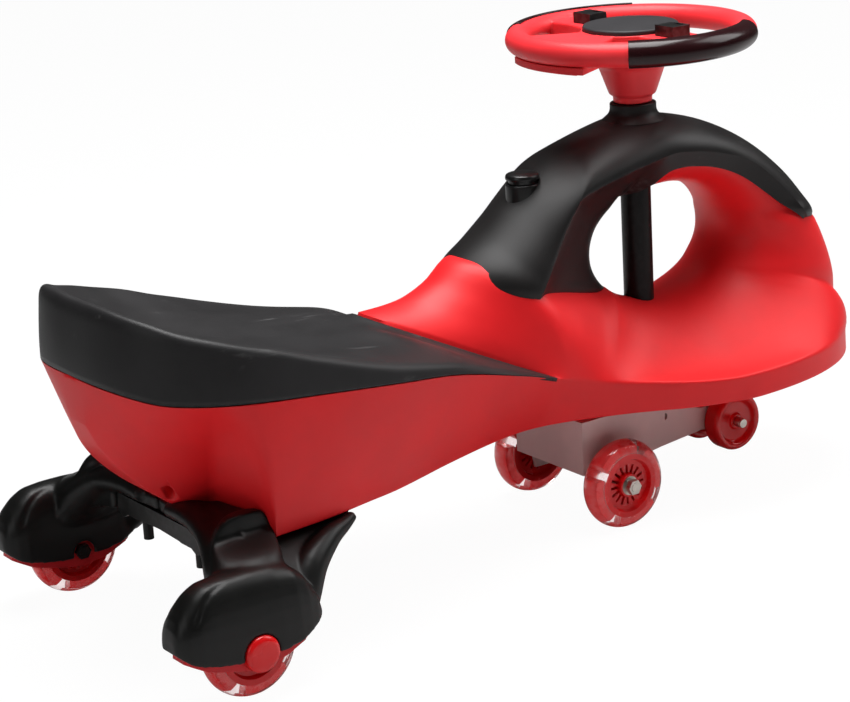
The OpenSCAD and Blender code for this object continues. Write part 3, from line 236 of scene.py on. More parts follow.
@dataclass(frozen=True)
class Plastic:
    """Moulded plastic: pigment clouds, a skin with grain, rubbed edges and scuffs."""

    name: str
    colour: Colour
    roughness: float
    grain: Grain = Grain.SATIN
    grain_size: float = 0.9 * MM
    grain_depth: float = 0.04 * MM
    cloud_size: float = 45 * MM
    cloud: float = 0.1
    wear: float = 0.2
    scuffs: float = 0.0
    coat: float = 0.0
    specular: float = 0.28
    coat_rough: float = 0.12
    cloud_band: Band = (0.3, 0.7)
    cloud_rough: float = 0.16
    edge_band: Band = (0.52, 0.62)
    rub_size: float = 6 * MM
    rub_band: Band = (0.4, 0.65)
    rub_rough: float = 0.2
    pale_keep: float = 0.75
    pale_add: float = 0.12
    streak_size: float = 5 * MM
    streak_stretch: Tuple[float, ...] = (0.12, 0.5, 0.5)
    streak_band: Band = (0.6, 0.75)
    patch_size: float = 55 * MM
    patch_band: Band = (0.52, 0.66)
    scuff_rough: float = 0.25
    leather_cells: float = 0.7
    polish_size: float = 8

    def height(self, shader: Shader) -> Value:
        """The grain as a height.

        Args:
            shader: the material that it goes into.

        Returns:
            A height of about 0 to 1.
        """
        fine = shader.noise(self.grain_size, 3)
        if self.grain is Grain.LEATHER:
            cells = shader.add("ShaderNodeTexVoronoi", {"feature": "F1"},
                               {"Vector": shader.place, "Scale": 1 / self.grain_size})
            return cells * self.leather_cells + fine * (1 - self.leather_cells)
        if self.grain is Grain.POLISHED:
            return shader.noise(self.grain_size * self.polish_size, 1)
        return fine

    def material(self) -> bpy.types.Material:
        """Builds the material.

        Returns:
            The material.
        """
        shader = Shader(self.name)
        cloud = shader.noise(self.cloud_size, 4)
        dark, light = (shade(self.colour, 1 + k * self.cloud) for k in (-1, 1))
        tone = shader.mix(cloud.band(*self.cloud_band), dark, light)
        edge = shader.add("ShaderNodeNewGeometry", output="Pointiness").band(*self.edge_band)
        pale = tuple(self.pale_keep * c + self.pale_add for c in self.colour[:3]) + (1.0,)
        rubbed = edge * shader.noise(self.rub_size, 3).band(*self.rub_band) * self.wear
        tone = shader.mix(rubbed, tone, pale)
        rough = self.roughness + (cloud - 0.5) * self.cloud_rough + rubbed * self.rub_rough
        if self.scuffs:
            streak = shader.noise(self.streak_size, 5, self.streak_stretch).band(*self.streak_band)
            patch = shader.noise(self.patch_size, 2).band(*self.patch_band)
            mark = streak * patch * self.scuffs
            tone = shader.mix(mark, tone, pale)
            rough = rough + mark * self.scuff_rough
        normal = shader.bump(self.height(shader), self.grain_depth)
        return shader.surface({
            "Base Color": tone, "Roughness": rough, "Normal": normal, "Coat Weight": self.coat,
            "Coat Roughness": self.coat_rough, "Specular IOR Level": self.specular})


@dataclass(frozen=True)
class ClearTyre:
    """Clear cast tyre with a red tint and a scuffed tread."""

    name: str
    tint: Colour
    roughness: float = 0.08
    index: float = 1.46
    clear: float = 0.97
    haze_size: float = 9 * MM
    haze_band: Band = (0.35, 0.7)
    haze_shade: float = 0.88
    haze_rough: float = 0.06
    haze_depth: float = 0.03 * MM
    scratch_size: float = 2 * MM
    scratch_stretch: Tuple[float, ...] = (0.3, 2, 0.3)
    scratch_band: Band = (0.55, 0.75)
    scratch_rough: float = 0.1

    def material(self) -> bpy.types.Material:
        """Builds the material.

        Returns:
            The material.
        """
        shader = Shader(self.name)
        haze = shader.noise(self.haze_size, 3)
        tone = shader.mix(haze.band(*self.haze_band), self.tint, shade(self.tint, self.haze_shade))
        scratch = shader.noise(self.scratch_size, 4, self.scratch_stretch).band(*self.scratch_band)
        rough = self.roughness + haze * self.haze_rough + scratch * self.scratch_rough
        return shader.surface({
            "Base Color": tone, "Roughness": rough, "IOR": self.index, "Transmission Weight": self.clear,
            "Normal": shader.bump(haze, self.haze_depth)})


@dataclass(frozen=True)
class Metal:
    """Plated or painted steel with turning marks."""

    name: str
    colour: Colour
    roughness: float
    metallic: float = 1.0
    mark_size: float = 1.2 * MM
    mark_stretch: Tuple[float, ...] = (1, 0.15, 1)
    mark_rough: float = 0.2
    mark_depth: float = 0.02 * MM
    stain_size: float = 7 * MM
    stain_band: Band = (0.45, 0.75)
    stain: float = 0.35
    stain_shade: float = 0.6
    stain_rough: float = 0.1

    def material(self) -> bpy.types.Material:
        """Builds the material.

        Returns:
            The material.
        """
        shader = Shader(self.name)
        marks = shader.noise(self.mark_size, 4, self.mark_stretch)
        stain = shader.noise(self.stain_size, 3).band(*self.stain_band)
        tone = shader.mix(stain * self.stain, self.colour, shade(self.colour, self.stain_shade))
        rough = self.roughness + (marks - 0.5) * self.mark_rough + stain * self.stain_rough
        return shader.surface({
            "Base Color": tone, "Roughness": rough, "Metallic": self.metallic,
            "Normal": shader.bump(marks, self.mark_depth)})


RED_SHELL = Plastic("red shell", srgb(228, 28, 33), 0.46, grain_depth=0.025 * MM, cloud=0.04, wear=0.08)
RED_GLOSS = Plastic("red gloss", srgb(214, 16, 20), 0.26, Grain.POLISHED, cloud=0.06, coat=0.25)
RED_WHEEL = Plastic("red steering wheel", srgb(240, 52, 58), 0.42, cloud=0.05, wear=0.12)
RED_LINER = Plastic("red liner", srgb(205, 26, 34), 0.38, cloud=0.06)
SEAT_BLACK = Plastic("seat black", srgb(30, 29, 30), 0.5, Grain.LEATHER, 1.5 * MM, 0.05 * MM, cloud=0.16,
                     scuffs=0.35, wear=0.1)
COVER_BLACK = Plastic("cover black", srgb(24, 22, 22), 0.46, grain_depth=0.03 * MM, cloud=0.14, scuffs=0.18)
FRAME_BLACK = Plastic("frame black", srgb(11, 11, 10), 0.4, grain_depth=0.04 * MM, cloud=0.15, wear=0.3)
TRIM_BLACK = Plastic("trim black", srgb(20, 19, 19), 0.32, cloud=0.12, coat=0.2)
PAD_GREY = Plastic("pad grey black", srgb(40, 39, 41), 0.5, grain_depth=0.05 * MM, cloud=0.12)
GRIP_GLOSS = Plastic("grip gloss", srgb(34, 9, 12), 0.24, Grain.POLISHED, cloud=0.1, coat=0.15, specular=0.22)
# The carriage is light grey; the pink tint in its colour is a painted reflection of the red body.
CARRIAGE_GREY_WITH_PAINTED_RED = Plastic("carriage grey with painted red reflection", srgb(205, 178, 175), 0.5, cloud=0.07, wear=0.1)
COLUMN_BLACK = Plastic("column black", srgb(13, 11, 11), 0.42, cloud=0.15, specular=0.2)
BLACK_STEEL = Metal("black steel", srgb(24, 23, 22), 0.5, 0.6)
STEEL = Metal("plated steel", srgb(196, 190, 182), 0.3)
TYRE_CLEAR = ClearTyre("clear tyre", srgb(255, 238, 238))

Finish = Union[Plastic, ClearTyre, Metal]


class Paint:
    """Keeps one material for each finish."""

    made: Dict[str, bpy.types.Material] = {}

    @classmethod
    def on(cls, piece: Piece, finish: Finish) -> None:
        """Gives a piece that finish alone.

        Args:
            piece: the piece.
            finish: its looks.
        """
        if finish.name not in cls.made:
            cls.made[finish.name] = finish.material()
        piece.data.materials.clear()
        piece.data.materials.append(cls.made[finish.name])


def lerp(a: Amount, b: Amount, t: float) -> Amount:
    """The value at share t from a to b."""
    return a + (b - a) * t


def ease(t: float) -> float:
    """A smooth step of t from 0 to 1."""
    s = min(1.0, max(0.0, t))
    return s * s * (3 - 2 * s)


def rise(t: float, start: float, long: float) -> float:
    """A smooth step of t from 0 at start to 1 after that length."""
    return ease((t - start) / long)


def bezier(a: Point, b: Point, c: Point, d: Point, t: float) -> Point:
    """A point of the cubic with those four controls."""
    s = 1 - t
    return s * s * s * a + 3 * s * s * t * b + 3 * s * t * t * c + t * t * t * d


def super_round(c: float, n: float) -> float:
    """A coordinate of a superellipse of power n from a sine or cosine."""
    return max(0.0, c) ** (2 / n)


def at(x: float, y: float, z: float) -> Point:
    """A point."""
    return np.array((x, y, z), float)


def unit(way: Point) -> Point:
    """A direction of length 1."""
    return way / np.linalg.norm(way)


def turns(n: int) -> Point:
    """n angles round a circle, in radians."""
    return np.linspace(0, 2 * math.pi, n, endpoint=False)


def shares(n: int) -> List[float]:
    """n + 1 shares from 0 to 1."""
    return [i / n for i in range(n + 1)]


class Curve:
    """A smooth curve through (x, value) points in order of x."""

    def __init__(self, *points: Tuple[float, float]) -> None:
        """Works out the slope at each point.

        Args:
            points: the (x, value) points.
        """
        self.x = [p[0] for p in points]
        self.y = [p[1] for p in points]
        last = len(points) - 1
        self.slope = [(self.y[min(last, i + 1)] - self.y[max(0, i - 1)])
                      / (self.x[min(last, i + 1)] - self.x[max(0, i - 1)]) for i in range(last + 1)]

    def __call__(self, x: float) -> float:
        """The value at x.

        Args:
            x: where it is asked for.

        Returns:
            The value there.
        """
        i = min(max(bisect_right(self.x, x) - 1, 0), len(self.x) - 2)
        h = self.x[i + 1] - self.x[i]
        t = (x - self.x[i]) / h
        t2, t3 = t * t, t * t * t
        return ((2 * t3 - 3 * t2 + 1) * self.y[i] + (t3 - 2 * t2 + t) * h * self.slope[i]
                + (3 * t2 - 2 * t3) * self.y[i + 1] + (t3 - t2) * h * self.slope[i + 1])


def resampled(line: Line, n: int, start: float = 0.0, end: float = 0.0) -> Line:
    """Evenly spaced points along a line.

    Args:
        line: the points that it runs through.
        n: how many steps it gets.
        start, end: lengths that are left out at its ends.

    Returns:
        n + 1 points.
    """
    points = np.array(line)
    run = np.concatenate(([0.0], np.cumsum(np.linalg.norm(np.diff(points, axis=0), axis=1))))
    run = run + np.arange(len(run)) * 1e-9
    places = np.linspace(start, run[-1] - end, n + 1)
    return list(np.stack([np.interp(places, run, points[:, k]) for k in range(3)], axis=1))


def length_of(line: Line) -> float:
    """The length of a line."""
    return float(np.linalg.norm(np.diff(np.array(line), axis=0), axis=1).sum())


def filleted(legs: Sequence[Line], radii: Sequence[float], counts: Sequence[int], steps: int = 6) -> Line:
    """Joins lines end to end with rounded corners.

    Args:
        legs: the lines, each starting where the one before ends.
        radii: how far each corner's rounding reaches along its two lines.
        counts: steps of each line.
        steps: steps of each corner.

    Returns:
        One line with the same number of points for the same counts.
    """
    sizes = [length_of(leg) for leg in legs]
    cut = [min(r, LEG_SHARE * sizes[i], LEG_SHARE * sizes[i + 1]) for i, r in enumerate(radii)]
    out: Line = []
    for i, leg in enumerate(legs):
        part = resampled(leg, counts[i], cut[i - 1] if i else 0.0, cut[i] if i < len(cut) else 0.0)
        if i:
            corner, before = legs[i][0], out[-1]
            for t in shares(steps)[1:-1]:
                out.append((1 - t) ** 2 * before + 2 * t * (1 - t) * corner + t * t * part[0])
        out.extend(part)
    return out


def grid_faces(rows: int, columns: int, start: int = 0, turn: bool = False, loop: bool = False) -> Faces:
    """Quads of a grid of points.

    Args:
        rows, columns: points each way.
        start: number of the first point.
        turn: whether the faces look the other way.
        loop: whether the last column joins the first.

    Returns:
        The faces.
    """
    faces = []
    for i in range(rows - 1):
        for j in range(columns if loop else columns - 1):
            k = (j + 1) % columns
            a, b = start + i * columns + j, start + (i + 1) * columns + j
            c, d = start + (i + 1) * columns + k, start + i * columns + k
            faces.append((a, d, c, b) if turn else (a, b, c, d))
    return faces


class Mould:
    """Collects points and faces of one piece, and makes its object."""

    join_below = 2e-6
    drop_below = 1e-7

    def __init__(self) -> None:
        """Starts empty."""
        self.points: List[Sequence[float]] = []
        self.faces: Faces = []

    def grid(self, rows: Sequence[Line], turn: bool = False, loop: bool = False) -> "Mould":
        """Adds a grid of points in metres.

        Args:
            rows: lines of as many points each.
            turn: whether the faces look the other way.
            loop: whether the last point of a row joins its first.

        Returns:
            This mould.
        """
        start = len(self.points)
        for row in rows:
            self.points.extend(tuple(p) for p in row)
        self.faces += grid_faces(len(rows), len(rows[0]), start, turn, loop)
        return self

    def mesh(self, node: str) -> "Mould":
        """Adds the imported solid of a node.

        Args:
            node: the solid's node.

        Returns:
            This mould.
        """
        start = len(self.points)
        data = frame["nodes"][node].data
        self.points.extend(tuple(v.co) for v in data.vertices)
        self.faces += [tuple(start + i for i in face.vertices) for face in data.polygons]
        return self

    def both_sides(self, rows: Sequence[Line]) -> "Mould":
        """Adds a grid and its mirror image in the middle plane."""
        other = [[p * (1, -1, 1) for p in row] for row in rows]
        return self.grid(rows).grid(other, True)

    def loft(self, rings: Sequence[Line]) -> "Mould":
        """Adds a closed solid through rings of points.

        Args:
            rings: closed lines of as many points each, in metres.

        Returns:
            This mould.
        """
        start = len(self.points)
        self.grid(rings, loop=True)
        n = len(rings[0])
        last = start + n * (len(rings) - 1)
        self.faces.append(tuple(range(start, start + n)))
        self.faces.append(tuple(range(last + n - 1, last - 1, -1)))
        return self

    def lathe(self, profile: Sequence[Tuple[float, float]], centre: Vector, axis: str,
              steps: int = 96) -> "Mould":
        """Adds a turned ring.

        Args:
            profile: (radius, place along the axis) points of its closed outline, in metres.
            centre: where the axis has its zero.
            axis: "Y" or "Z".
            steps: faces round it.

        Returns:
            This mould.
        """
        rows = []
        for k in range(steps + 1):
            c, s = math.cos(2 * math.pi * k / steps), math.sin(2 * math.pi * k / steps)
            lay = (lambda r, h: (r * c, -h, r * s)) if axis == "Y" else (lambda r, h: (r * c, r * s, h))
            rows.append([np.array(centre) + np.array(lay(r, h)) for r, h in profile])
        return self.grid(rows, loop=True)

    def piece(self, name: str, sharp: float = 40) -> Piece:
        """Makes the object.

        Args:
            name: its name.
            sharp: degrees at which an edge stays sharp.

        Returns:
            The object, with its points joined and its faces looking out.
        """
        mesh = bpy.data.meshes.new(name)
        mesh.from_pydata(self.points, [], self.faces)
        work = bmesh.new()
        work.from_mesh(mesh)
        bmesh.ops.remove_doubles(work, verts=work.verts, dist=self.join_below)
        bmesh.ops.dissolve_degenerate(work, edges=work.edges, dist=self.drop_below)
        bmesh.ops.recalc_face_normals(work, faces=work.faces)
        return Bench.from_bmesh(work, name, sharp)


class Bench:
    """Steps that finish a mesh: copies, bevels, cuts and thicknesses."""

    groove_steps = 60
    groove_fade = 12
    groove_reach = 3
    round_above = 32
    flat_below = 0.6
    join_below = 1e-6

    @staticmethod
    def from_bmesh(work: bmesh.types.BMesh, name: str, sharp: float) -> Piece:
        """Turns a work mesh into a smooth-shaded object with sharp edges above an angle.

        Args:
            work: the work mesh, which is freed.
            name: the object's name.
            sharp: that angle in degrees.

        Returns:
            The object.
        """
        mesh = bpy.data.meshes.new(name)
        for face in work.faces:
            face.smooth = True
        for edge in work.edges:
            edge.smooth = len(edge.link_faces) != 2 or edge.calc_face_angle(0) < math.radians(sharp)
        work.to_mesh(mesh)
        work.free()
        piece = bpy.data.objects.new(name, mesh)
        bpy.context.scene.collection.objects.link(piece)
        return piece

    @staticmethod
    def apply(piece: Piece) -> Piece:
        """Makes the modifiers of a piece part of its mesh.

        Args:
            piece: the piece.

        Returns:
            The piece.
        """
        bpy.context.view_layer.update()
        seen = piece.evaluated_get(bpy.context.evaluated_depsgraph_get())
        mesh = bpy.data.meshes.new_from_object(seen)
        piece.modifiers.clear()
        piece.data = mesh
        return piece

    @classmethod
    def thicken(cls, piece: Piece, wall: float, even: bool = True) -> Piece:
        """Gives a skin a wall on its inner side.

        Args:
            piece: the skin.
            wall: its thickness in metres.
            even: whether sharp corners keep that thickness too.

        Returns:
            The piece.
        """
        step = piece.modifiers.new("wall", "SOLIDIFY")
        step.thickness = wall
        step.offset = -1
        step.use_even_offset = even
        return cls.apply(piece)

    @classmethod
    def soften(cls, piece: Piece, size: float, sharp: float) -> Piece:
        """Rounds the edges that are sharper than an angle in degrees.

        Args:
            piece: the piece.
            size: size of the rounding in metres.
            sharp: that angle.

        Returns:
            The piece.
        """
        step = piece.modifiers.new("round", "BEVEL")
        step.width = size
        step.segments = 2
        step.limit_method = "ANGLE"
        step.angle_limit = math.radians(sharp)
        return cls.apply(piece)

    @classmethod
    def groove(cls, piece: Piece, path: Line, wide: float, deep: float) -> None:
        """Presses a groove into a piece.

        Args:
            piece: the piece.
            path: points of the groove, in metres.
            wide, deep: its half width and depth, in metres.
        """
        line = np.array(resampled(path, cls.groove_steps))
        for vertex in piece.data.vertices:
            far = np.linalg.norm(line - np.array(vertex.co), axis=1)
            k = int(far.argmin())
            if far[k] < cls.groove_reach * wide:
                fade = ease(k / cls.groove_fade) * ease((cls.groove_steps - k) / cls.groove_fade)
                vertex.co = vertex.co - vertex.normal * deep * fade * math.exp(-(far[k] / wide) ** 2)

    @classmethod
    def cut(cls, piece: Piece, cutter: Piece) -> Piece:
        """Takes one solid out of another and removes the cutter.

        Args:
            piece: the solid that is cut.
            cutter: the solid that is taken out.

        Returns:
            The piece.
        """
        step = piece.modifiers.new("cut", "BOOLEAN")
        step.operation = "DIFFERENCE"
        step.solver = "EXACT"
        step.object = cutter
        cls.apply(piece)
        bpy.data.objects.remove(cutter)
        return piece

    @staticmethod
    def smooth(piece: Piece, rounds: int, group: str = "") -> None:
        """Adds a smoothing, of one vertex group or the whole piece.

        Args:
            piece: the piece.
            rounds: how often it is smoothed.
            group: the group's name, or nothing for the whole piece.
        """
        step = piece.modifiers.new("soft", "SMOOTH")
        step.factor = 0.5
        step.iterations = rounds
        step.vertex_group = group

    @classmethod
    def melt(cls, piece: Piece, voxel: float, rounds: int) -> Piece:
        """Fuses overlapping solids into one skin with soft blends.

        Args:
            piece: the overlapping solids as one object.
            voxel: size of the new mesh's faces.
            rounds: how often it is smoothed.

        Returns:
            The piece.
        """
        step = piece.modifiers.new("fuse", "REMESH")
        step.mode = "VOXEL"
        step.voxel_size = voxel
        step.use_smooth_shade = True
        cls.smooth(piece, rounds)
        return cls.apply(piece)

    @classmethod
    def work_of(cls, node: str) -> bmesh.types.BMesh:
        """Takes up a solid, with its points joined.

        Args:
            node: the solid's node.

        Returns:
            The work mesh.
        """
        work = bmesh.new()
        work.from_mesh(frame["nodes"][node].data)
        bmesh.ops.remove_doubles(work, verts=work.verts, dist=cls.join_below)
        return work

    @classmethod
    def copy(cls, node: str, bevel: float, steps: int = 2) -> Piece:
        """Copies a solid with its edges rounded.

        Args:
            node: the solid's node.
            bevel: size of the rounding in metres.
            steps: faces across the rounding.

        Returns:
            The new object, which isn't yet on a body.
        """
        work = cls.work_of(node)
        flat = math.radians(cls.flat_below)
        bmesh.ops.dissolve_limit(work, angle_limit=flat, verts=work.verts, edges=work.edges)
        limit = math.radians(cls.round_above)
        edges = [e for e in work.edges if len(e.link_faces) == 2 and e.calc_face_angle(0) > limit]
        bmesh.ops.bevel(work, geom=edges, offset=bevel, offset_type="OFFSET", segments=steps, profile=0.5,
                        affect="EDGES", clamp_overlap=True)
        piece = cls.from_bmesh(work, node + "_dressed", 50)
        piece.modifiers.new("even light", "WEIGHTED_NORMAL").keep_sharp = True
        return piece


BODY_OF = {node: body for body, nodes in frame["record"]["behaviour"]["bodies"].items() for node in nodes}


def settle(piece: Piece, finish: Finish, node: str) -> Piece:
    """Puts a finished piece in the place of a node.

    Args:
        piece: the new piece.
        finish: its looks.
        node: the node that it stands for.

    Returns:
        The piece.
    """
    Paint.on(piece, finish)
    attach(piece, BODY_OF[node])
    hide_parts(node)
    LOG.info("%s stands for %s", piece.name, node)
    return piece


def dress(node: str, finish: Finish, bevel: float, steps: int = 2) -> None:
    """Puts a copy of a node's solid with rounded edges in its place.

    Args:
        node: the node.
        finish: its looks.
        bevel: size of the rounding in millimetres.
        steps: faces across the rounding.
    """
    settle(Bench.copy(node, bevel * MM, steps), finish, node)


def rounded_outline(corners: Sequence[Sequence[float]], steps: int = 5) -> List[Tuple[float, float]]:
    """A closed outline with rounded corners.

    Args:
        corners: (radius, height, rounding) of each corner in millimetres.
        steps: steps of each rounding.

    Returns:
        The outline in metres.
    """
    out = []
    n = len(corners)
    for i, (r, h, reach) in enumerate(corners):
        here = np.array((r, h))
        before, after = (np.array(corners[k % n][:2]) for k in (i - 1, i + 1))
        reach = min([reach] + [OUTLINE_SHARE * np.linalg.norm(end - here) for end in (before, after)])
        if reach <= 0:
            out.append(here)
            continue
        a, b = (here + unit(end - here) * reach for end in (before, after))
        out += [(1 - t) ** 2 * a + 2 * t * (1 - t) * here + t * t * b for t in shares(steps)]
    return [(float(p[0]) * MM, float(p[1]) * MM) for p in out]


def turned(name: str, corners: Sequence[Sequence[float]], centre: Vector, axis: str = "Z",
           steps: int = 96, sharp: float = 40) -> Piece:
    """Makes a turned piece.

    Args:
        name: its name.
        corners: (radius, height, rounding) of its outline's corners in millimetres.
        centre: where the axis has its zero.
        axis: "Y" or "Z".
        steps: faces round it.
        sharp: degrees at which an edge stays sharp.

    Returns:
        The piece.
    """
    return Mould().lathe(rounded_outline(corners), centre, axis, steps).piece(name, sharp)


def half_size(node: str) -> Tuple[float, ...]:
    """Half the size of a node's box along each axis, in millimetres."""
    return tuple((b - a) / 2 / MM for a, b in zip(*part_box(node)))


def middle_of(node: str) -> Vector:
    """The middle of a node's box."""
    low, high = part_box(node)
    return (low + high) / 2


@dataclass(frozen=True)
class BodyForm:
    """The flowing form of the body in nominal millimetres: hull, nose and arch.

    swell_x is a step towards the stern, and swell_y one outward from the middle.
    """

    middle_x: float = 2.25
    crease_half: Curve = Curve(
        (-232, 125), (-200, 125), (-160, 121), (-120, 114), (-80, 104), (-40, 92), (0, 81), (31, 72),
        (50, 71), (75, 75), (110, 86), (148, 105), (180, 114.5), (203, 116))
    crease_high: Curve = Curve(
        (-367, 224), (-340, 214.5), (-322, 212.2), (-282, 209.5), (-241, 206), (-198, 201.5), (-154, 195.5),
        (-103, 187.5), (-66, 178), (-28, 166), (0, 157), (31, 146), (50, 140), (75, 133), (110, 128),
        (148, 124.5), (180, 122.5), (203, 122), (290, 121), (380, 119))
    under_half: Curve = Curve(
        (-262, 108), (-212, 103), (-172, 95), (-139, 88), (-75, 67), (-16, 51), (18, 47.5), (45, 52),
        (77, 63), (109, 77), (152, 100), (195, 114), (203, 115))
    keel_half: Curve = Curve((-358, 12), (-340, 22), (-310, 28), (-270, 30))
    keel_high: Curve = Curve((-358, 186), (-350, 166), (-335, 145), (-310, 121), (-285, 104), (-270, 100))
    middle_high: Curve = Curve(
        (-362, 262), (-350, 264), (-330, 252), (-300, 239), (-260, 228), (-220, 221), (-180, 217),
        (-140, 215), (-110, 214.5), (-68, 217), (-39, 226), (-13, 238))
    crease_run: Curve = Curve(
        (0, 31), (0.1, 37), (0.2, 46), (0.3, 60), (0.37, 78), (0.45, 118), (0.53, 168), (0.6, 203))
    saddle_x: Curve = Curve((0, -110), (0.1, -66), (0.15, -39), (0.2, -8), (0.3, 62), (0.37, 125))
    saddle_z: Curve = Curve((0, 214.5), (0.1, 216), (0.15, 224.5), (0.2, 240.5), (0.3, 213), (0.37, 188))
    throat_turn: Curve = Curve((0.37, 216), (0.45, 245), (0.53, 268), (0.6, 283), (0.8, 305), (1, 322))
    leave_y: Curve = Curve(
        (0, 54), (0.1, 62), (0.2, 67), (0.3, 67), (0.37, 66), (0.45, 62), (0.6, 80), (0.75, 98), (0.9, 102),
        (1, 102))
    leave_z: Curve = Curve(
        (0, 0.28), (0.1, 0.6), (0.2, 0.85), (0.3, 0.75), (0.37, 0.5), (0.45, 0.16), (0.6, 0.16),
        (0.75, 0.3), (0.9, 0.58), (1, 0.75))
    leave_x: Curve = Curve((0, 0.3), (0.2, 0.2), (0.6, 0.2), (0.8, 0.16), (1, 0.08))
    meet_y: Curve = Curve(
        (0, 32), (0.1, 31), (0.2, 34), (0.3, 40), (0.37, 36), (0.45, 38), (0.6, 46), (0.8, 58), (1, 68))
    arch_turn: Curve = Curve((0, 2.4), (0.15, 12), (0.35, 30), (0.6, 58), (0.85, 88), (1, 101))
    arch_throat: Curve = Curve((0, 322), (0.15, 340), (0.35, 371), (0.6, 412), (0.85, 457), (1, 489))
    arch_q1: Curve = Curve((0, 102), (0.15, 98), (0.35, 86), (0.6, 68), (0.85, 62), (1, 62))
    arch_q2: Curve = Curve((0, 68), (0.15, 70), (0.35, 68), (0.6, 62), (0.85, 60), (1, 60))
    tail_x: float = -232
    tail_long: float = 129
    tail_fill: float = 2.6
    tail_share: float = 0.42
    nose_x: float = 203
    nose_half: float = 116
    nose_long: float = 172
    nose_fill: float = 2.25
    nose_share: float = 0.6
    throat_start: float = 0.37
    corner_x: float = 31
    seat_front_x: float = -110
    under_seat: float = 9
    floor_z: float = 100
    cover_wall: float = 3
    cover_gap: float = 0.6
    wall_swell: float = 2.5
    swell_x: Step = (-60, 80)
    swell_y: Step = (0, 30)
    hole_x: float = 190
    hole_z: float = 218.5
    hole_long: float = 71
    hole_high: float = 49
    arch_x: float = 170
    arch_z: float = 110
    arch_long: float = 205
    arch_high: float = 217
    arch_widen: float = 1.3
    arch_level: float = 0.3
    cover_from: Step = (0.34, 0.06)
    end_from: Step = (0.84, 0.06)
    end_sink: float = 8
    deck_pace: float = 0.9
    deck_stern: Tuple[float, ...] = (0.15, 0.85, 0.5)
    deck_front: Step = (0.8, 0.2)
    deck_rise: Step = (0.04, 0.2)
    deck_sink: float = 3
    deck_pull: float = 10
    deck_dip: float = 0.1
    blend_from: float = -312
    blend_to: float = -276
    under_x: float = -262
    keel_x: float = -270
    keel_tip: float = -358
    crease_tip: float = -361
    nose_flare: float = 1
    nose_tuck: float = 0.995

    def place(self, p: Point) -> Point:
        """A nominal point in the frame, in metres."""
        return (p - (self.middle_x, 0, 0)) * MM

    def placed(self, rows: Sequence[Line]) -> List[Line]:
        """Rows of nominal points in the frame, in metres."""
        return [[self.place(p) for p in row] for row in rows]

    def throat(self, turn: float) -> Point:
        """A point of the hand hole's outline, at a turn in degrees."""
        a = math.radians(turn)
        return at(self.hole_x + self.hole_long * math.cos(a), 0, self.hole_z + self.hole_high * math.sin(a))

    def front(self, turn: float, off: float = 0.0) -> Point:
        """A point of the arch's outer line, at a turn in degrees.

        Args:
            turn: that turn.
            off: how far outside the line the point lies.

        Returns:
            The point.
        """
        a = math.radians(turn)
        return at(self.arch_x + (self.arch_long + off) * math.cos(a), 0,
                  self.arch_z + (self.arch_high + off) * math.sin(a))

    def hull_crease(self, t: float) -> Point:
        """The parting line from the stern to the seat's front corner.

        Args:
            t: share of the way from the stern.

        Returns:
            A point on the right side.
        """
        if t < self.tail_share:
            a = math.pi / 2 * t / self.tail_share
            x = self.tail_x - self.tail_long * super_round(math.cos(a), self.tail_fill)
            half = self.crease_half(self.tail_x) * super_round(math.sin(a), self.tail_fill)
        else:
            x = lerp(self.tail_x, self.corner_x, (t - self.tail_share) / (1 - self.tail_share))
            half = self.crease_half(x)
        return at(x, -half, self.crease_high(x))

    def hull_line(self, t: float, v: float) -> Point:
        """The deck under the seat, from the crease to the middle.

        Args:
            t: share of the way from the stern.
            v: share from the crease to the middle.

        Returns:
            The point.
        """
        a = self.hull_crease(t)
        x = lerp(self.tail_x - self.tail_long, self.seat_front_x, t ** self.deck_pace)
        k = rise(t, *self.deck_front)
        low = a[2] - self.deck_sink * ease(t / self.deck_rise[0])
        z = lerp(low, self.middle_high(x) - self.under_seat, rise(t, *self.deck_rise))
        inward, near, far = self.deck_stern
        b = at(lerp(a[0], x, lerp(inward, self.leave_x(0), k)), lerp(a[1] * near, -self.leave_y(0), k),
               a[2] - self.deck_pull * ease(t / self.deck_dip))
        return bezier(a, b, at(x, lerp(a[1] * far, -self.meet_y(0), k), z), at(x, 0, z), v)

    def nose_crease(self, u: float) -> Point:
        """The top of the skirt from the seat's corner to the nose.

        Args:
            u: share of the way to the tip of the nose.

        Returns:
            A point on the right side.
        """
        if u < self.nose_share:
            x = self.crease_run(u)
            return at(x, -self.crease_half(x), self.crease_high(x))
        a = math.pi / 2 * (1 - u) / (1 - self.nose_share)
        x = self.nose_x + self.nose_long * super_round(math.cos(a), self.nose_fill)
        return at(x, -self.nose_half * super_round(math.sin(a), self.nose_fill), self.crease_high(x))

    def nose_line(self, u: float, v: float) -> Point:
        """The red saddle and nose, from the crease to the middle or the hand hole.

        Args:
            u: share of the way to the tip of the nose.
            v: share from the crease inward.

        Returns:
            The point.
        """
        a = self.nose_crease(u)
        if u < self.throat_start:
            d = at(self.saddle_x(u), 0, self.saddle_z(u))
        else:
            d = self.throat(self.throat_turn(u))
        b = at(lerp(a[0], d[0], self.leave_x(u)), -self.leave_y(u), lerp(a[2], d[2], self.leave_z(u)))
        return bezier(a, b, at(d[0], -self.meet_y(u), d[2]), d, v)

    def arch_controls(self, w: float, off: float = 0.0) -> Controls:
        """The four controls of the arch's cross-section, from its outer line to the hand hole.

        Args:
            w: share of the way along the arch, from the nose.
            off: how far outside the outer line it lies.

        Returns:
            The controls.
        """
        a = self.front(self.arch_turn(w), off)
        d = self.throat(self.arch_throat(w))
        low = 1 - ease(w / self.arch_level)
        wide = off * self.arch_widen
        b = at(lerp(a[0], d[0], self.leave_x(1) * low), -self.arch_q1(w) - wide,
               lerp(a[2], d[2], self.leave_z(1) * low))
        return a, b, at(d[0], -self.arch_q2(w) - wide, d[2]), d

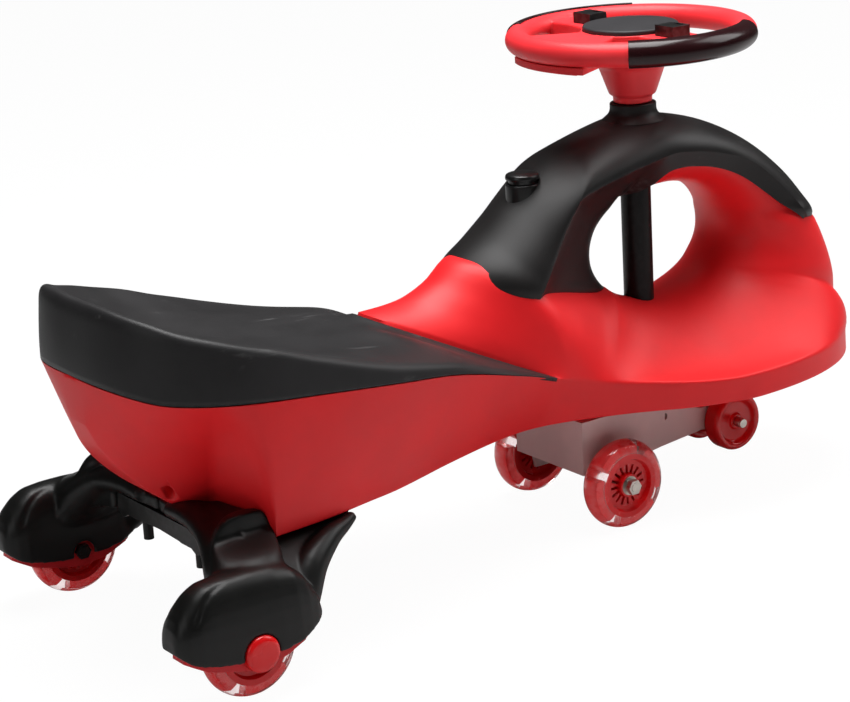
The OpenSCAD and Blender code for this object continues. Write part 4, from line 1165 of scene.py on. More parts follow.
    def red_arch(self, w: float, v: float) -> Point:
        """The red arch, which is lower where the cover lies on it.

        Args:
            w: share of the way along the arch.
            v: share from its outer line inward.

        Returns:
            The point.
        """
        off = -(self.cover_wall + self.cover_gap) * rise(w, *self.cover_from)
        off -= self.end_sink * rise(w, *self.end_from)
        return bezier(*self.arch_controls(w, off), v)

    def under_at(self, c: Point) -> Point:
        """Where the wall below a crease point ends.

        Args:
            c: the crease point.

        Returns:
            The point below it.
        """
        if c[0] > self.nose_x:
            return at(c[0] + self.nose_flare, c[1] * self.nose_tuck, self.floor_z)
        if c[0] > self.blend_to:
            x = max(c[0], self.under_x)
            return at(x, -self.under_half(x), self.floor_z)
        if c[0] > self.blend_from:
            k = rise(c[0], self.blend_from, self.blend_to - self.blend_from)
            half = lerp(self.keel_half(self.keel_x), self.under_half(self.under_x), k)
            return at(lerp(self.keel_x, self.under_x, k), -half, self.floor_z)
        k = (c[0] - self.crease_tip) / (self.blend_from - self.crease_tip)
        x = lerp(self.keel_tip, self.keel_x, min(1.0, max(0.0, k)))
        return at(x, max(c[1], -self.keel_half(x)), self.keel_high(x))

    def wall_line(self, c: Point, steps: int) -> Line:
        """The wall from a crease point down to its lower edge.

        Args:
            c: the crease point.
            steps: steps of the line.

        Returns:
            Points from top to bottom.
        """
        e = self.under_at(c)
        out = at(0, -self.wall_swell * rise(-c[0], *self.swell_x) * rise(-c[1], *self.swell_y), 0)
        return [lerp(c, e, t) + out * 4 * t * (1 - t) for t in shares(steps)]


FORM = BodyForm()


@dataclass
class Body:
    """The red blow-moulded body in one skin: hull, nose and arch. Lengths are in millimetres."""

    hull_steps: int = 84
    nose_steps: int = 96
    arch_steps: int = 44
    arch_end: float = 0.88
    line_steps: int = 30
    wall_steps: int = 12
    crease_round: float = 1.4
    nose_round: float = 2.6
    edge_round: float = 2.4
    keel_steps: int = 5
    round_share: float = 0.3
    vent_size: float = 13
    vent_deep: float = 14
    vent_turn: float = 45
    vent_tilt: float = 52
    vent_scale: Tuple[float, ...] = (1.4, 0.6, 1, 1)
    vent_at: Tuple[float, ...] = (-307, 36, 129)

    def station(self, line: Callable[[float], Point], crease: Point, reach: float) -> Line:
        """One section of hull or nose.

        Args:
            line: the deck from the crease at 0 to the middle at 1.
            crease: where deck and wall meet.
            reach: rounding of the crease.

        Returns:
            Points from the middle of the deck, over the wall, to the middle of the underside.
        """
        deck = [line(1 - v) for v in shares(self.line_steps)]
        wall = FORM.wall_line(crease, self.wall_steps)
        keel = [lerp(wall[-1], wall[-1] * (1, 0, 1), t) for t in shares(4)]
        counts = (self.line_steps, self.wall_steps, self.keel_steps)
        return filleted((deck, wall, keel), (reach, self.edge_round), counts)

    def vent(self, side: int) -> Piece:
        """A solid that cuts one slanted vent into the stern.

        Args:
            side: the side of the car.

        Returns:
            The cutter.
        """
        r, deep = self.vent_size / 2, self.vent_deep
        outline = ((0, -deep, 0), (r, -deep, 0), (r, deep, 0), (0, deep, 0))
        cutter = turned("vent_cutter", outline, Vector(), steps=40)
        turn = Matrix.Rotation(math.radians(-self.vent_turn * side), 4, "Z")
        tilt = Matrix.Rotation(math.radians(self.vent_tilt), 4, "Y")
        x, y, z = self.vent_at
        spot = Matrix.Translation(FORM.place(at(x, y * side, z)))
        cutter.data.transform(spot @ (turn @ tilt @ Matrix.Diagonal(self.vent_scale)))
        return cutter

    def build(self) -> Piece:
        """Builds the body and cuts its vents.

        Returns:
            The body.
        """
        rows = [self.station(lambda v, t=t: FORM.hull_line(t, v), FORM.hull_crease(t), self.crease_round)
                for t in shares(self.hull_steps)]
        rows += [self.station(lambda v, u=u: FORM.nose_line(u, v), FORM.nose_crease(u),
                              lerp(self.crease_round, self.nose_round, ease(u / self.round_share)))
                 for u in shares(self.nose_steps)[1:]]
        arch = [rows[-1][:self.line_steps + 1]]
        for w in shares(self.arch_steps)[1:]:
            line = [FORM.red_arch(w * self.arch_end, 1 - v) for v in shares(self.line_steps)]
            arch.append(resampled(line, self.line_steps))
        end = arch[-1]
        arch.append([end[0] * (1, 0, 1) * 0.5 + end[-1] * (1, 0, 1) * 0.5 for _ in end])
        piece = Mould().both_sides(FORM.placed(rows)).both_sides(FORM.placed(arch)).piece("red_body", 50)
        for side in (RIGHT, LEFT):
            Bench.cut(piece, self.vent(side))
        return settle(piece, RED_SHELL, "body_shell")


@dataclass
class Seat:
    """The black seat: a flank, a rolled rim and the pan. Lengths are in millimetres."""

    long_steps: int = 96
    flank_steps: int = 10
    pan_steps: int = 34
    wall: float = 3
    seam: float = 0.4
    end: float = 0.995
    back_x: float = -300
    front_from: Step = (0.72, 0.28)
    rim_share: float = 0.06
    soft_height: float = 12
    flank_pull: Tuple[float, ...] = (0.35, 0.25)
    roll_pull: float = 17
    roll_drop: float = 8
    drop_share: float = 0.3
    pan_pull: Tuple[float, ...] = (0.4, 0.6)
    roll_steps: int = 9
    rim_above: Curve = Curve(
        (-367, 65), (-360, 65), (-352.6, 63), (-340, 60.5), (-324.5, 55), (-306, 50), (-284, 44),
        (-252, 37), (-220, 28), (-173, 17), (-126, 10), (-76.5, 6.5), (-28, 3), (31, 0.5))
    inset: Curve = Curve((0, 7), (0.1, 5), (0.3, 4), (0.6, 3), (1, 2))
    roll: Curve = Curve((0, 24), (0.08, 20), (0.15, 16), (0.3, 12), (0.45, 9), (0.55, 7), (0.8, 3), (1, 1))

    def section(self, t: float) -> Tuple[Line, Line]:
        """Flank and pan lines at a share of the length.

        Args:
            t: that share, from the stern.

        Returns:
            The two lines.
        """
        c = FORM.hull_crease(t)
        g = c + (0, 0, self.seam)
        way = at(max(FORM.tail_x, c[0]) - c[0], -c[1], 0)
        way = way / max(np.linalg.norm(way), 1e-6)
        h = self.rim_above(c[0])
        up = at(0, 0, 1)
        k = g + way * self.inset(t) + up * h
        soft = min(1.0, h / self.soft_height)
        x = lerp(self.back_x, FORM.seat_front_x, t ** FORM.deck_pace)
        z = FORM.middle_high(x)
        first, second = self.flank_pull
        flank = [bezier(g, g + up * first * h, k - way * soft - up * second * h, k, s)
                 for s in shares(self.flank_steps)]
        drop = min(self.roll_drop, self.drop_share * (k[2] - z))
        inward, across = self.pan_pull
        bowl = at(lerp(k[0], x, inward), k[1] * across, z)
        pan = [bezier(k, k + way * self.roll_pull - up * drop, bowl, at(x, 0, z), s)
               for s in shares(self.pan_steps)]
        return flank, pan

    def build(self) -> Piece:
        """Builds the seat as a skin with a wall.

        Returns:
            The seat.
        """
        flank_end, pan_end = self.section(1)
        rows = []
        for i in shares(self.long_steps):
            t = i * self.end
            flank, pan = self.section(t)
            k = rise(t, *self.front_from)
            rim = self.rim_share
            for line, last, low, high in ((flank, flank_end, 0.0, rim), (pan, pan_end, rim, 1.0)):
                for j, s in enumerate(shares(len(line) - 1)):
                    goal = FORM.nose_line(0, lerp(low, high, s)) + (0, 0, self.seam)
                    line[j] = line[j] + (goal - last[j]) * k
            counts = (self.flank_steps, self.pan_steps)
            rows.append(filleted((flank, pan), (self.roll(t),), counts, self.roll_steps))
        piece = Mould().both_sides(FORM.placed(rows)).piece("seat_skin", 60)
        Bench.thicken(piece, self.wall * MM, False)
        return settle(piece, SEAT_BLACK, "seat_cover")


@dataclass
class ArchCover:
    """The black cover: one crown from the saddle to the tip, and the leg's face to the hand hole.

    Lengths are in millimetres. The curves run over a share of the leg or of the arch.
    """

    leg_top_x: Curve = Curve(
        (-0.15, -34), (0, -13.4), (0.15, 12.6), (0.3, 38.5), (0.47, 65), (0.66, 97), (0.85, 128), (1, 150))
    leg_top_z: Curve = Curve(
        (-0.15, 218), (0, 237), (0.15, 254), (0.3, 273), (0.47, 291.5), (0.66, 309.5), (0.85, 321.5),
        (1, 326.5))
    leg_side_x: Curve = Curve(
        (-0.15, 24), (0, 27.5), (0.25, 43.7), (0.45, 60), (0.65, 77.2), (0.8, 94.8), (1, 119.8))
    leg_side_y: Curve = Curve((-0.15, 43), (0, 56), (0.25, 53), (0.45, 50), (0.65, 49), (1, 48))
    leg_side_z: Curve = Curve(
        (-0.15, 192), (0, 209.6), (0.25, 230.8), (0.45, 255.9), (0.65, 276.6), (0.8, 287.4), (1, 295.1))
    leg_throat: Curve = Curve((-0.15, 222), (0, 216), (1, 129))
    edge: Curve = Curve(
        (0.3, 0.08), (0.34, 0.36), (0.38, 0.41), (0.42, 0.424), (0.5, 0.437), (0.6, 0.43), (0.7, 0.46),
        (0.88, 0.47), (1, 0.445))
    hem: Curve = Curve(
        (0.3, 0.1), (0.34, 0.4), (0.38, 0.488), (0.42, 0.544), (0.5, 0.592), (0.6, 0.605), (0.75, 0.625),
        (0.82, 0.63), (0.87, 0.66), (0.9, 0.76), (0.93, 0.92), (0.96, 1), (1, 1))
    leg_keys: Tuple[float, ...] = (-0.15, 0, 0.15, 0.3, 0.45, 0.6, 0.72)
    arch_keys: Tuple[float, ...] = (0.88, 0.8, 0.7, 0.6, 0.5, 0.42, 0.36, 0.3)
    long_steps: int = 120
    side_steps: int = 22
    face_steps: int = 16
    wall: float = 3
    proud: float = 2.5
    sink: float = 4.5
    tip: Step = (0.3, 0.06)
    edge_from: Step = (0.3, 0.1)
    edge_round: float = 0.7
    sharp: float = 25
    leg_near: float = 0.45
    leg_pull: Tuple[float, ...] = (0.5, 1.05)
    face_from: Step = (0.88, 0.25)
    face_pull: Tuple[float, ...] = (0.33, 0.67)
    hollow_share: float = 0.35
    hollow_pull: Tuple[float, ...] = (0.5, 0.4)

    def leg_controls(self, b: float) -> Controls:
        """Controls of the leg's crown at a share of its height.

        Args:
            b: that share.

        Returns:
            The controls, from the top line to the side edge.
        """
        top = at(self.leg_top_x(b), 0, self.leg_top_z(b))
        w = self.leg_side_y(b)
        side = at(self.leg_side_x(b), -w, self.leg_side_z(b))
        near = lerp(side, top, self.leg_near)
        first, second = self.leg_pull
        return top, top - (0, first * w, 0), at(near[0], -second * w, near[2]), side

    def arch(self, w: float) -> Controls:
        """Controls of the arch's section, which the cover's tip sinks into."""
        return FORM.arch_controls(w, -self.sink * (1 - rise(w, *self.tip)))

    def cap_controls(self, w: float) -> Controls:
        """Controls of the crown over the arch, whose edge stands a little proud of it.

        Args:
            w: share of the way along the arch.

        Returns:
            The controls, from the top line to the side edge.
        """
        a, b, c, d = self.arch(w)
        t = self.edge(w)
        ab, bc, cd = lerp(a, b, t), lerp(b, c, t), lerp(c, d, t)
        side = lerp(lerp(ab, bc, t), lerp(bc, cd, t), t)
        out = unit(side - lerp(a, d, 0.5)) * self.proud * rise(w, *self.edge_from)
        return a, ab, lerp(ab, bc, t) + out, side + out

    def hem_at(self, phase: float) -> Point:
        """Where the face under the crown's edge ends.

        Args:
            phase: the leg's share up to 1, then 1 more than the way along the arch.

        Returns:
            A point of the hand hole beside the leg, of the arch's side further on.
        """
        if phase <= 1:
            return FORM.throat(self.leg_throat(phase))
        return bezier(*self.arch(2 - phase), self.hem(2 - phase))

    def build(self) -> Piece:
        """Builds the cover as a skin with a wall.

        Returns:
            The cover.
        """
        keys = [self.leg_controls(b) for b in self.leg_keys] + [self.cap_controls(w) for w in self.arch_keys]
        gaps = [np.linalg.norm(q[0] - p[0]) for p, q in zip(keys, keys[1:])]
        run = np.concatenate(([0.0], np.cumsum(gaps)))
        run = run / run[-1]
        flow = [[Curve(*((s, key[c][k]) for s, key in zip(run, keys))) for k in range(3)] for c in range(4)]
        phase = Curve(*zip(run, self.leg_keys + tuple(2 - w for w in self.arch_keys)))
        crown, face = [], []
        for s in shares(self.long_steps):
            controls = [np.array([curve(s) for curve in corner]) for corner in flow]
            row = [bezier(*controls, v) for v in shares(self.side_steps)]
            row[0] = row[0] * (1, 0, 1)
            crown.append(row)
            side, hem = row[-1], self.hem_at(phase(s))
            under = lerp(side, hem, self.hollow_share)
            k = rise(phase(s), *self.face_from)
            deep, low = self.hollow_pull
            flat = [lerp(side, hem, pull) for pull in self.face_pull]
            first = lerp(at(under[0], deep * side[1], under[2]), flat[0], k)
            second = lerp(hem + (0, low * side[1], 0), flat[1], k)
            face.append([bezier(side, first, second, hem, v) for v in shares(self.face_steps)])
        mould = Mould().both_sides(FORM.placed(crown)).both_sides(FORM.placed(face))
        piece = Bench.thicken(mould.piece("arch_skin", self.sharp), self.wall * MM)
        return settle(Bench.soften(piece, self.edge_round * MM, self.sharp), COVER_BLACK, "arch_cover")


@dataclass
class Horn:
    """The horn knob in its bezel, with the spring under it. Lengths are in millimetres."""

    wire: float = 1.1
    coil_turns: float = 4.5
    coil_radius: float = 7.6
    turn_steps: int = 36
    wire_steps: int = 10
    cup_wall: float = 3.2
    cup_lip: float = 2.2
    cup_ledge: float = 5
    stem_inset: float = 2.6
    stem_deep: float = 1.2
    skirt_gap: float = 3.5
    stem_gap: float = 3.4
    bore: float = 9.2
    bore_top: float = 6.1
    pin: float = 5

    def build(self) -> None:
        """Builds bezel, knob and spring."""
        low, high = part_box("horn_bezel")
        centre = Vector(((low.x + high.x) / 2, 0, high.z))
        r, _, half = half_size("horn_bezel")
        inner, mouth, deep, ledge = r - self.cup_wall, r - self.cup_lip, 2 * half, -self.cup_ledge
        outline = ((inner, -deep, 0.3), (r, -deep, 0.3), (r, 0, 1.2), (mouth, 0.2, 0.6), (mouth, ledge, 0.2),
                   (inner, ledge, 0.2))
        settle(turned("horn_cup", outline, centre), TRIM_BLACK, "horn_bezel")
        under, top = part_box("horn_button")
        base = Vector((centre.x, 0, top.z))
        lip = (top.z - centre.z) / MM
        k, stem = half_size("horn_button")[0], r - self.stem_inset
        foot, end = -lip - self.stem_deep, (under.z - top.z) / MM
        bore, ceiling, pin = self.bore, -self.bore_top, self.pin
        outline = ((0, 0, 0), (k * 0.55, -0.3, 4), (k - 0.8, -2.0, 2.2), (k, -4.4, 1.4),
                   (k - 0.3, self.skirt_gap - lip, 0.5), (stem, self.stem_gap - lip, 0.3), (stem, foot, 0.3),
                   (bore, foot, 0.3), (bore, ceiling, 0.3), (pin, ceiling, 0.5), (pin, end, 0.5), (0, end, 0))
        settle(turned("horn_knob", outline, base), TRIM_BLACK, "horn_button")
        foot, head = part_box("horn_spring")
        spring = self.coil(centre, foot.z + self.wire * MM / 2, head.z - self.wire * MM / 2)
        settle(spring, STEEL, "horn_spring")
        travel = next(j["range_m"][1] for j in frame["joints"] if j["name"] == "horn_push")
        1 - travel / (head.z - foot.z)
        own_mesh(spring)
        LOG.info("horn knob stands %.1f mm proud", lip)

    def coil(self, centre: Vector, low: float, high: float) -> Piece:
        """The spring's wire as one helix between two heights.

        Args:
            centre: a point of the helix's axis.
            low, high: heights of the wire's ends, in metres.

        Returns:
            The spring.
        """
        rings = []
        steps = int(self.coil_turns * self.turn_steps)
        up = at(0, 0, 1)
        for i in range(steps + 1):
            a = 2 * math.pi * self.coil_turns * i / steps
            side = at(math.cos(a), math.sin(a), 0)
            spot = np.array(centre) * (1, 1, 0) + side * self.coil_radius * MM
            spot = spot + up * lerp(low, high, i / steps)
            rings.append([spot + self.wire * MM / 2 * (math.cos(b) * side + math.sin(b) * up)
                          for b in turns(self.wire_steps)])
        return Mould().loft(rings).piece("horn_coil")


@dataclass
class RearEnd:
    """Fenders with their legs, liners, caps and the crossbar.

    Lengths are in millimetres. joint_x and bow_x are steps towards the stern.
    """

    voxel: float = 1.3
    soft_rounds: int = 7
    groove_wide: float = 2.2
    groove_deep: float = 2.6
    joint_rounds: int = 45
    joint_z: Step = (82, 10)
    joint_x: Step = (256, 14)
    bow: float = 5
    bow_x: Step = (342, 26)
    bow_z: Step = (58, 24)
    groove: Rows = (
        (-328, 10, 97), (-336, 11.5, 95), (-344, 13.5, 92), (-352, 15.5, 85), (-357, 17, 77),
        (-360, 17.5, 68))
    rib: Rows = ((-296, 99, 120), (-293, 102, 111), (-291, 107, 104))
    arm: Rows = (
        (-296, 20, 109, 14, 8), (-296, 50, 110, 15, 9), (-297, 76, 107, 18, 10), (-298, 94, 99, 22, 12),
        (-300, 108, 89, 26, 14), (-302, 120, 77, 28, 15))
    web: Rows = (
        (-192, 99, 96, 4, 4), (-204, 104, 93, 6, 6), (-220, 109, 89, 9, 9), (-242, 117, 77, 13, 13),
        (-256, 124, 61, 15, 15), (-264, 130, 52, 15, 15))
    notch_y: float = 103
    notch_z: Step = (98, 12)
    notch_share: float = 0.9
    web_x: float = -262
    web_top: float = 99.6
    rib_wide: float = 2.2
    rib_high: float = 2.2
    ring_radius: float = 16.4
    ring_wide: float = 1.7
    ring_high: float = 1.5
    ring_past: float = 0.3
    bar_steps: int = 24

    @classmethod
    def tube(cls, path: Sequence[Sequence[float]], side: int, steps: int = 18) -> List[Line]:
        """Rings of a smooth bar.

        Args:
            path: place, half width along X and half width across it at points of the bar.
            side: the side of the car.
            steps: rings along it, less one.

        Returns:
            The rings, in metres.
        """
        last = len(path) - 1
        flow = [Curve(*((i / last, p[k]) for i, p in enumerate(path))) for k in range(5)]
        spots = [at(flow[0](t), side * flow[1](t), flow[2](t)) for t in shares(steps)]
        rings = []
        for i, t in enumerate(shares(steps)):
            way = unit(spots[min(i + 1, steps)] - spots[max(i - 1, 0)])
            u = unit(at(1, 0, 0) - way * way[0])
            v = np.cross(way, u)
            rings.append([(spots[i] + flow[3](t) * math.cos(a) * u + flow[4](t) * math.sin(a) * v) * MM
                          for a in turns(cls.bar_steps)])
        return rings

    def fender(self, name: str, side: int) -> None:
        """Fuses fender, leg and arm into one soft skin, and presses grooves, rib and cap ring into it.

        Args:
            name: the side in words.
            side: the side of the car.
        """
        mould = Mould().mesh("fender_" + name).loft(self.tube(self.arm, side)).loft(self.tube(self.web, side))
        piece = Bench.melt(mould.piece("fender_skin_" + name), self.voxel * MM, self.soft_rounds)
        joint = piece.vertex_groups.new(name="joint")
        for vertex in piece.data.vertices:
            x, y, z = vertex.co / MM
            past = max(0.0, abs(y) - self.notch_y)
            vertex.co.y -= side * past * self.notch_share * rise(z, *self.notch_z) * MM
            if x > self.web_x:
                vertex.co.z = min(z, self.web_top) * MM
            joint.add([vertex.index], rise(z, *self.joint_z) * rise(-x, *self.joint_x), "REPLACE")
        Bench.smooth(piece, self.joint_rounds, "joint")
        Bench.apply(piece)
        for vertex in piece.data.vertices:
            x, z = vertex.co.x / MM, vertex.co.z / MM
            vertex.co.z -= self.bow * MM * rise(-x, *self.bow_x) * rise(z, *self.bow_z)
        middle = middle_of("rear_tyre_" + name).y / MM
        for hand in (RIGHT, LEFT):
            Bench.groove(piece, [at(x, middle + hand * y, z) * MM for x, y, z in self.groove],
                         self.groove_wide * MM, self.groove_deep * MM)
        rib = [at(x, side * y, z) * MM for x, y, z in self.rib]
        Bench.groove(piece, rib, self.rib_wide * MM, -self.rib_high * MM)
        cap = middle_of("axle_cap_" + name)
        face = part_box("axle_cap_" + name)[1 if side == RIGHT else 0].y
        reach = self.ring_radius * MM
        ring = [at(cap.x + reach * math.cos(a), face, cap.z + reach * math.sin(a))
                for a in np.linspace(-self.ring_past, math.pi + self.ring_past, 30)]
        Bench.groove(piece, ring, self.ring_wide * MM, -self.ring_high * MM)
        settle(piece, FRAME_BLACK, "fender_" + name)

    def cap(self, name: str, side: int) -> None:
        """Turns the red cap on the axle's end.

        Args:
            name: the side in words.
            side: the side of the car.
        """
        low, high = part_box("axle_cap_" + name)
        r, half, _ = half_size("axle_cap_" + name)
        deep = 2 * half
        foot = Vector(((low.x + high.x) / 2, high.y if side == RIGHT else low.y, (low.z + high.z) / 2))
        outline = ((0, 0, 0), (r, 0, 0.2), (r, deep - 2.6, 1.6), (r - 2.6, deep - 0.5, 2), (r * 0.5, deep, 3),
                   (0, deep, 0))
        corners = [(q, -side * h, e) for q, h, e in outline]
        settle(turned("cap_" + name, corners, foot, "Y", sharp=50), RED_GLOSS, "axle_cap_" + name)

    def build(self) -> None:
        """Builds both sides and the crossbar."""
        for name, side in SIDES:
            self.fender(name, side)
            dress("liner_" + name, RED_LINER, 1.2)
            self.cap(name, side)
            dress("rear_axle_" + name, BLACK_STEEL, 0.4)
        dress("rear_frame", FRAME_BLACK, 1.5)
        dress("frame_screws", STEEL, 0.4)


@dataclass
class Wheel:
    """One large wheel: clear tyre, slotted core with lobes, and bearings. Lengths are in millimetres."""

    name: str
    lobes: int = 4
    lobe_steps: int = 48
    lobe_radius: float = 33.0
    notch: float = 6.5
    lobe_half: float = 6.5
    lobe_turn: float = 0.3
    notch_from: Step = (0.13, 0.14)
    tread_round: float = 14
    tread_turn: float = 0.82
    tread_points: int = 19
    tyre_steps: int = 128
    core_gap: float = 0.05
    lobe_overlap: float = 1

    def lobe_ring(self, centre: Vector, inner: float) -> Mould:
        """The core's lobed edge inside the clear tyre.

        Args:
            centre: the wheel's middle.
            inner: radius in millimetres where the lobes start.

        Returns:
            The ring with a notch between each two lobes.
        """
        rows = []
        n = self.lobes * self.lobe_steps
        for k in range(n + 1):
            a = 2 * math.pi * k / n + self.lobe_turn
            gap = abs((k % self.lobe_steps) * 2 / self.lobe_steps - 1)
            r = self.lobe_radius - self.notch * (1 - rise(gap, *self.notch_from))
            corners = ((inner, -1), (r, -1), (r, 1), (inner, 1))
            rows.append([np.array(centre) + at(q * math.cos(a), h * self.lobe_half, q * math.sin(a)) * MM
                         for q, h in corners])
        return Mould().grid(rows, loop=True)

    def build(self) -> None:
        """Builds the wheel at its packed place."""
        tyre, core, bearings = (self.name.replace("_", f"_{kind}_") for kind in ("tyre", "core", "bearings"))
        centre = middle_of(tyre)
        _, half, r = half_size(tyre)
        inner = half_size(core)[2]
        bore, bulge = inner + self.core_gap, self.tread_round
        outline = [(bore, half, 0.4), (bore, -half, 0.4)]
        for a in np.linspace(-self.tread_turn, self.tread_turn, self.tread_points):
            outline.append((r - bulge + bulge * math.cos(a), max(-half, min(half, bulge * math.sin(a))), 0.0))
        settle(turned(tyre + "_ring", outline, centre, "Y", self.tyre_steps, 60), TYRE_CLEAR, tyre)
        hub = settle(Bench.copy(core, 0.35 * MM), RED_GLOSS, core)
        lobes = self.lobe_ring(centre, inner - self.lobe_overlap).piece(core + "_lobes", 30)
        Paint.on(lobes, RED_GLOSS)
        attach(lobes, BODY_OF[core])
        dress(bearings, STEEL, 0.25)
        LOG.info("%s wheel is %.1f mm across", hub.name, 2 * r)


@dataclass
class FrontEnd:
    """The swinging carriage with its bolts and guide wheels. Lengths are in millimetres."""

    guide_bore: float = 4.1
    hub_in: float = 2.5
    dish: float = 5
    head_radius: float = 4.4
    head_high: float = 4

    def build(self) -> None:
        """Builds carriage, bolts and guide wheels."""
        dress("carriage", CARRIAGE_GREY_WITH_PAINTED_RED, 1.2)
        for node in ("king_bolt", "front_axle", "front_nuts", "guide_axle"):
            dress(node, STEEL, 0.35)
        for node in ("guide_wheel_left", "guide_wheel_right"):
            _, half, r = half_size(node)
            hub, dish = half - self.hub_in, half - self.dish
            face = [(self.guide_bore, hub, 0.2), (6.4, hub, 0.8), (7.2, dish, 0.8), (r - 8, dish, 1.5),
                    (r - 6, half - 0.8, 1.5), (r - 2, half, 1.5), (r, half - 2.8, 2)]
            outline = face + [(q, -h, e) for q, h, e in reversed(face)]
            settle(turned(node + "_disc", outline, middle_of(node), "Y", sharp=50), RED_GLOSS, node)
        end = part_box("guide_nuts")[1].y / MM
        foot, r = end - self.head_high, self.head_radius
        heads = Mould()
        for side in (RIGHT, LEFT):
            outline = ((0, end, 0), (2.4, end - 0.1, 1), (r, end - 1.4, 0.8), (r, foot, 0.2), (0, foot, 0))
            heads.lathe(rounded_outline([(q, side * h, e) for q, h, e in outline]),
                        middle_of("guide_nuts") * Vector((1, 0, 1)), "Y", 48)
        settle(heads.piece("guide_heads", 50), STEEL, "guide_nuts")


@dataclass
class Steering:
    """Steering wheel, its column and what the wheel carries. Lengths are in millimetres."""

    voxel: float = 1.1
    soft_rounds: int = 4
    bore: float = 13.1
    lift: float = 1.7
    lift_share: float = 0.6
    flare: float = 7

    def build(self) -> None:
        """Builds the steering wheel, pad, buttons, grips and column."""
        wheel = Bench.from_bmesh(Bench.work_of("steering_wheel"), "steering_skin", 60)
        settle(Bench.melt(wheel, self.voxel * MM, self.soft_rounds), RED_WHEEL, "steering_wheel")
        for side in ("left", "right"):
            dress("grip_" + side, GRIP_GLOSS, 0.4)
            button = Bench.copy("sound_button_" + side, 1.2 * MM, 3)
            low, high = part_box("sound_button_" + side)
            for vertex in button.data.vertices:
                share = (vertex.co.z - low.z) / (high.z - low.z)
                vertex.co.z += self.lift * MM * (1 - ease(share / self.lift_share))
            settle(button, TRIM_BLACK, "sound_button_" + side)
        dress("centre_pad", PAD_GREY, 1.6, 4)
        dress("battery_box", RED_WHEEL, 1.2)
        dress("battery_lid", RED_WHEEL, 0.6)
        dress("wheel_screws", STEEL, 0.3)
        dress("column", COLUMN_BLACK, 0.5)
        r, _, half = half_size("upper_bush")
        deep, bore = 2 * half, self.bore
        outline = ((bore, -deep, 0.2), (r, -deep, 0.4), (r, -17, 0.2), (r + self.flare, -14.5, 0.5),
                   (r + 1.4, -9.5, 3.5), (r, -6, 2), (r, 0, 1.4), (bore, 0, 0.6))
        top = Vector((middle_of("column").x, 0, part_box("upper_bush")[1].z))
        settle(turned("collar", outline, top, sharp=50), COVER_BLACK, "upper_bush")
        dress("lower_bush", TRIM_BLACK, 0.8)
        dress("bush_screws", STEEL, 0.3)


@dataclass(frozen=True)
class Lamp:
    """One square soft lamp, in metres and watts."""

    name: str
    place: Tuple[float, float, float]
    aim: Tuple[float, float, float]
    size: float
    power: float

    def hang(self) -> None:
        """Hangs the lamp at its place and turns it to its aim."""
        data = bpy.data.lights.new(self.name, "AREA")
        data.size = self.size
        data.energy = self.power
        lamp = bpy.data.objects.new(self.name, data)
        lamp.location = self.place
        lamp.rotation_euler = (Vector(self.aim) - Vector(self.place)).to_track_quat("-Z", "Y").to_euler()
        bpy.context.scene.collection.objects.link(lamp)


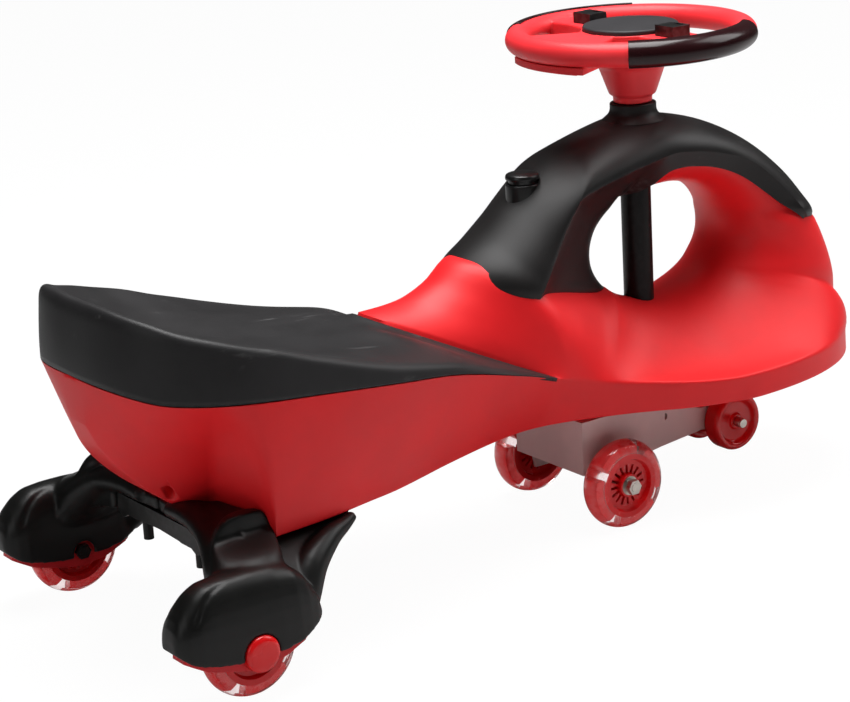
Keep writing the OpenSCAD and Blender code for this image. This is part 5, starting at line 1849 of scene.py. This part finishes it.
@dataclass
class Studio:
    """Pale floor, soft lamps and the camera of the photograph, in metres, degrees and pixels."""

    eye: Tuple[float, float, float] = (-1.12215, -1.5611, 0.7433)
    yaw: float = 34.48
    pitch: float = 16.81
    roll: float = -3.33
    focal: float = 2478.0
    image_wide: int = 850
    sensor: float = 36
    floor_reach: float = 6
    floor_glow: float = 1.04
    floor_grey: Colour = (0.5, 0.5, 0.5, 1)
    floor_dust: Colour = (0.46, 0.46, 0.46, 1)
    dust_size: float = 0.4
    dust_share: float = 0.1
    floor_seen: float = 0.93
    surround: float = 0.05
    lamps: Tuple[Lamp, ...] = (Lamp("key", (1.6, -0.7, 1.5), (0.1, 0, 0.2), 1.2, 20),
                               Lamp("top", (0.1, 0.1, 2.0), (0, 0, 0.2), 1.4, 72),
                               Lamp("fill", (-1.8, -0.5, 0.8), (0, 0, 0.2), 1.0, 4))

    def camera(self) -> None:
        """Sets the camera at the photograph's place."""
        yaw, pitch, roll = (math.radians(a) for a in (self.yaw, self.pitch, self.roll))
        look = Vector((math.sin(yaw) * math.cos(pitch), math.cos(yaw) * math.cos(pitch), -math.sin(pitch)))
        right = Vector((math.cos(yaw), -math.sin(yaw), 0))
        up = right.cross(look)
        c, s = math.cos(roll), math.sin(roll)
        right, up = right * c + up * s, up * c - right * s
        data = bpy.data.cameras.new("camera")
        data.sensor_width = self.sensor
        data.lens = self.focal * data.sensor_width / self.image_wide
        camera = bpy.data.objects.new("camera", data)
        bpy.context.scene.collection.objects.link(camera)
        turn = Matrix((right, up, -look)).transposed().to_4x4()
        camera.matrix_world = Matrix.Translation(self.eye) @ turn
        bpy.context.scene.camera = camera

    @staticmethod
    def seen(shader: Shader) -> Value:
        """1 for rays that show the background: from the camera, or through glass."""
        path = shader.add("ShaderNodeLightPath", output="Is Camera Ray")
        return path + Value(shader, path.socket.node.outputs["Is Transmission Ray"])

    def floor(self) -> None:
        """Lays the floor, which looks white and keeps the shadow."""
        shader = Shader("pale floor")
        dust = shader.noise(self.dust_size, 3)
        grey = shader.mix(dust * self.dust_share, self.floor_grey, self.floor_dust)
        lit = shader.add("ShaderNodeBsdfDiffuse", {}, {"Color": grey})
        glow = shader.add("ShaderNodeEmission", {}, {"Color": (1, 1, 1, 1), "Strength": self.floor_glow})
        seen = self.seen(shader) * self.floor_seen
        both = shader.add("ShaderNodeMixShader", {}, {0: seen, 1: lit, 2: glow})
        shader.add("ShaderNodeOutputMaterial", {}, {"Surface": both})
        mesh = bpy.data.meshes.new("floor")
        reach = self.floor_reach
        corners = [(-reach, -reach, 0), (reach, -reach, 0), (reach, reach, 0), (-reach, reach, 0)]
        mesh.from_pydata(corners, [], [(0, 1, 2, 3)])
        floor = bpy.data.objects.new("floor", mesh)
        bpy.context.scene.collection.objects.link(floor)
        mesh.materials.append(shader.material)

    def world(self) -> None:
        """A white surround that lights the object softly."""
        world = bpy.data.worlds.new("studio")
        bpy.context.scene.world = world
        shader = Shader("studio", world)
        level = self.surround + self.seen(shader) * (1 - self.surround)
        ground = shader.add("ShaderNodeBackground", {}, {"Color": (1, 1, 1, 1), "Strength": level})
        shader.add("ShaderNodeOutputWorld", {}, {"Surface": ground})

    def build(self) -> None:
        """Builds the whole studio."""
        self.camera()
        self.floor()
        self.world()
        for lamp in self.lamps:
            lamp.hang()
        bpy.context.scene.view_settings.view_transform = "Standard"


def main() -> None:
    """Builds the car piece by piece and logs a few of its sizes."""
    logging.basicConfig(level=logging.INFO, format="%(message)s")
    Studio().build()
    Body().build()
    Seat().build()
    ArchCover().build()
    Horn().build()
    RearEnd().build()
    for name in ("front_left", "front_right", "rear_left", "rear_right"):
        Wheel(name).build()
    FrontEnd().build()
    Steering().build()


if __name__ == "__main__":
    main()
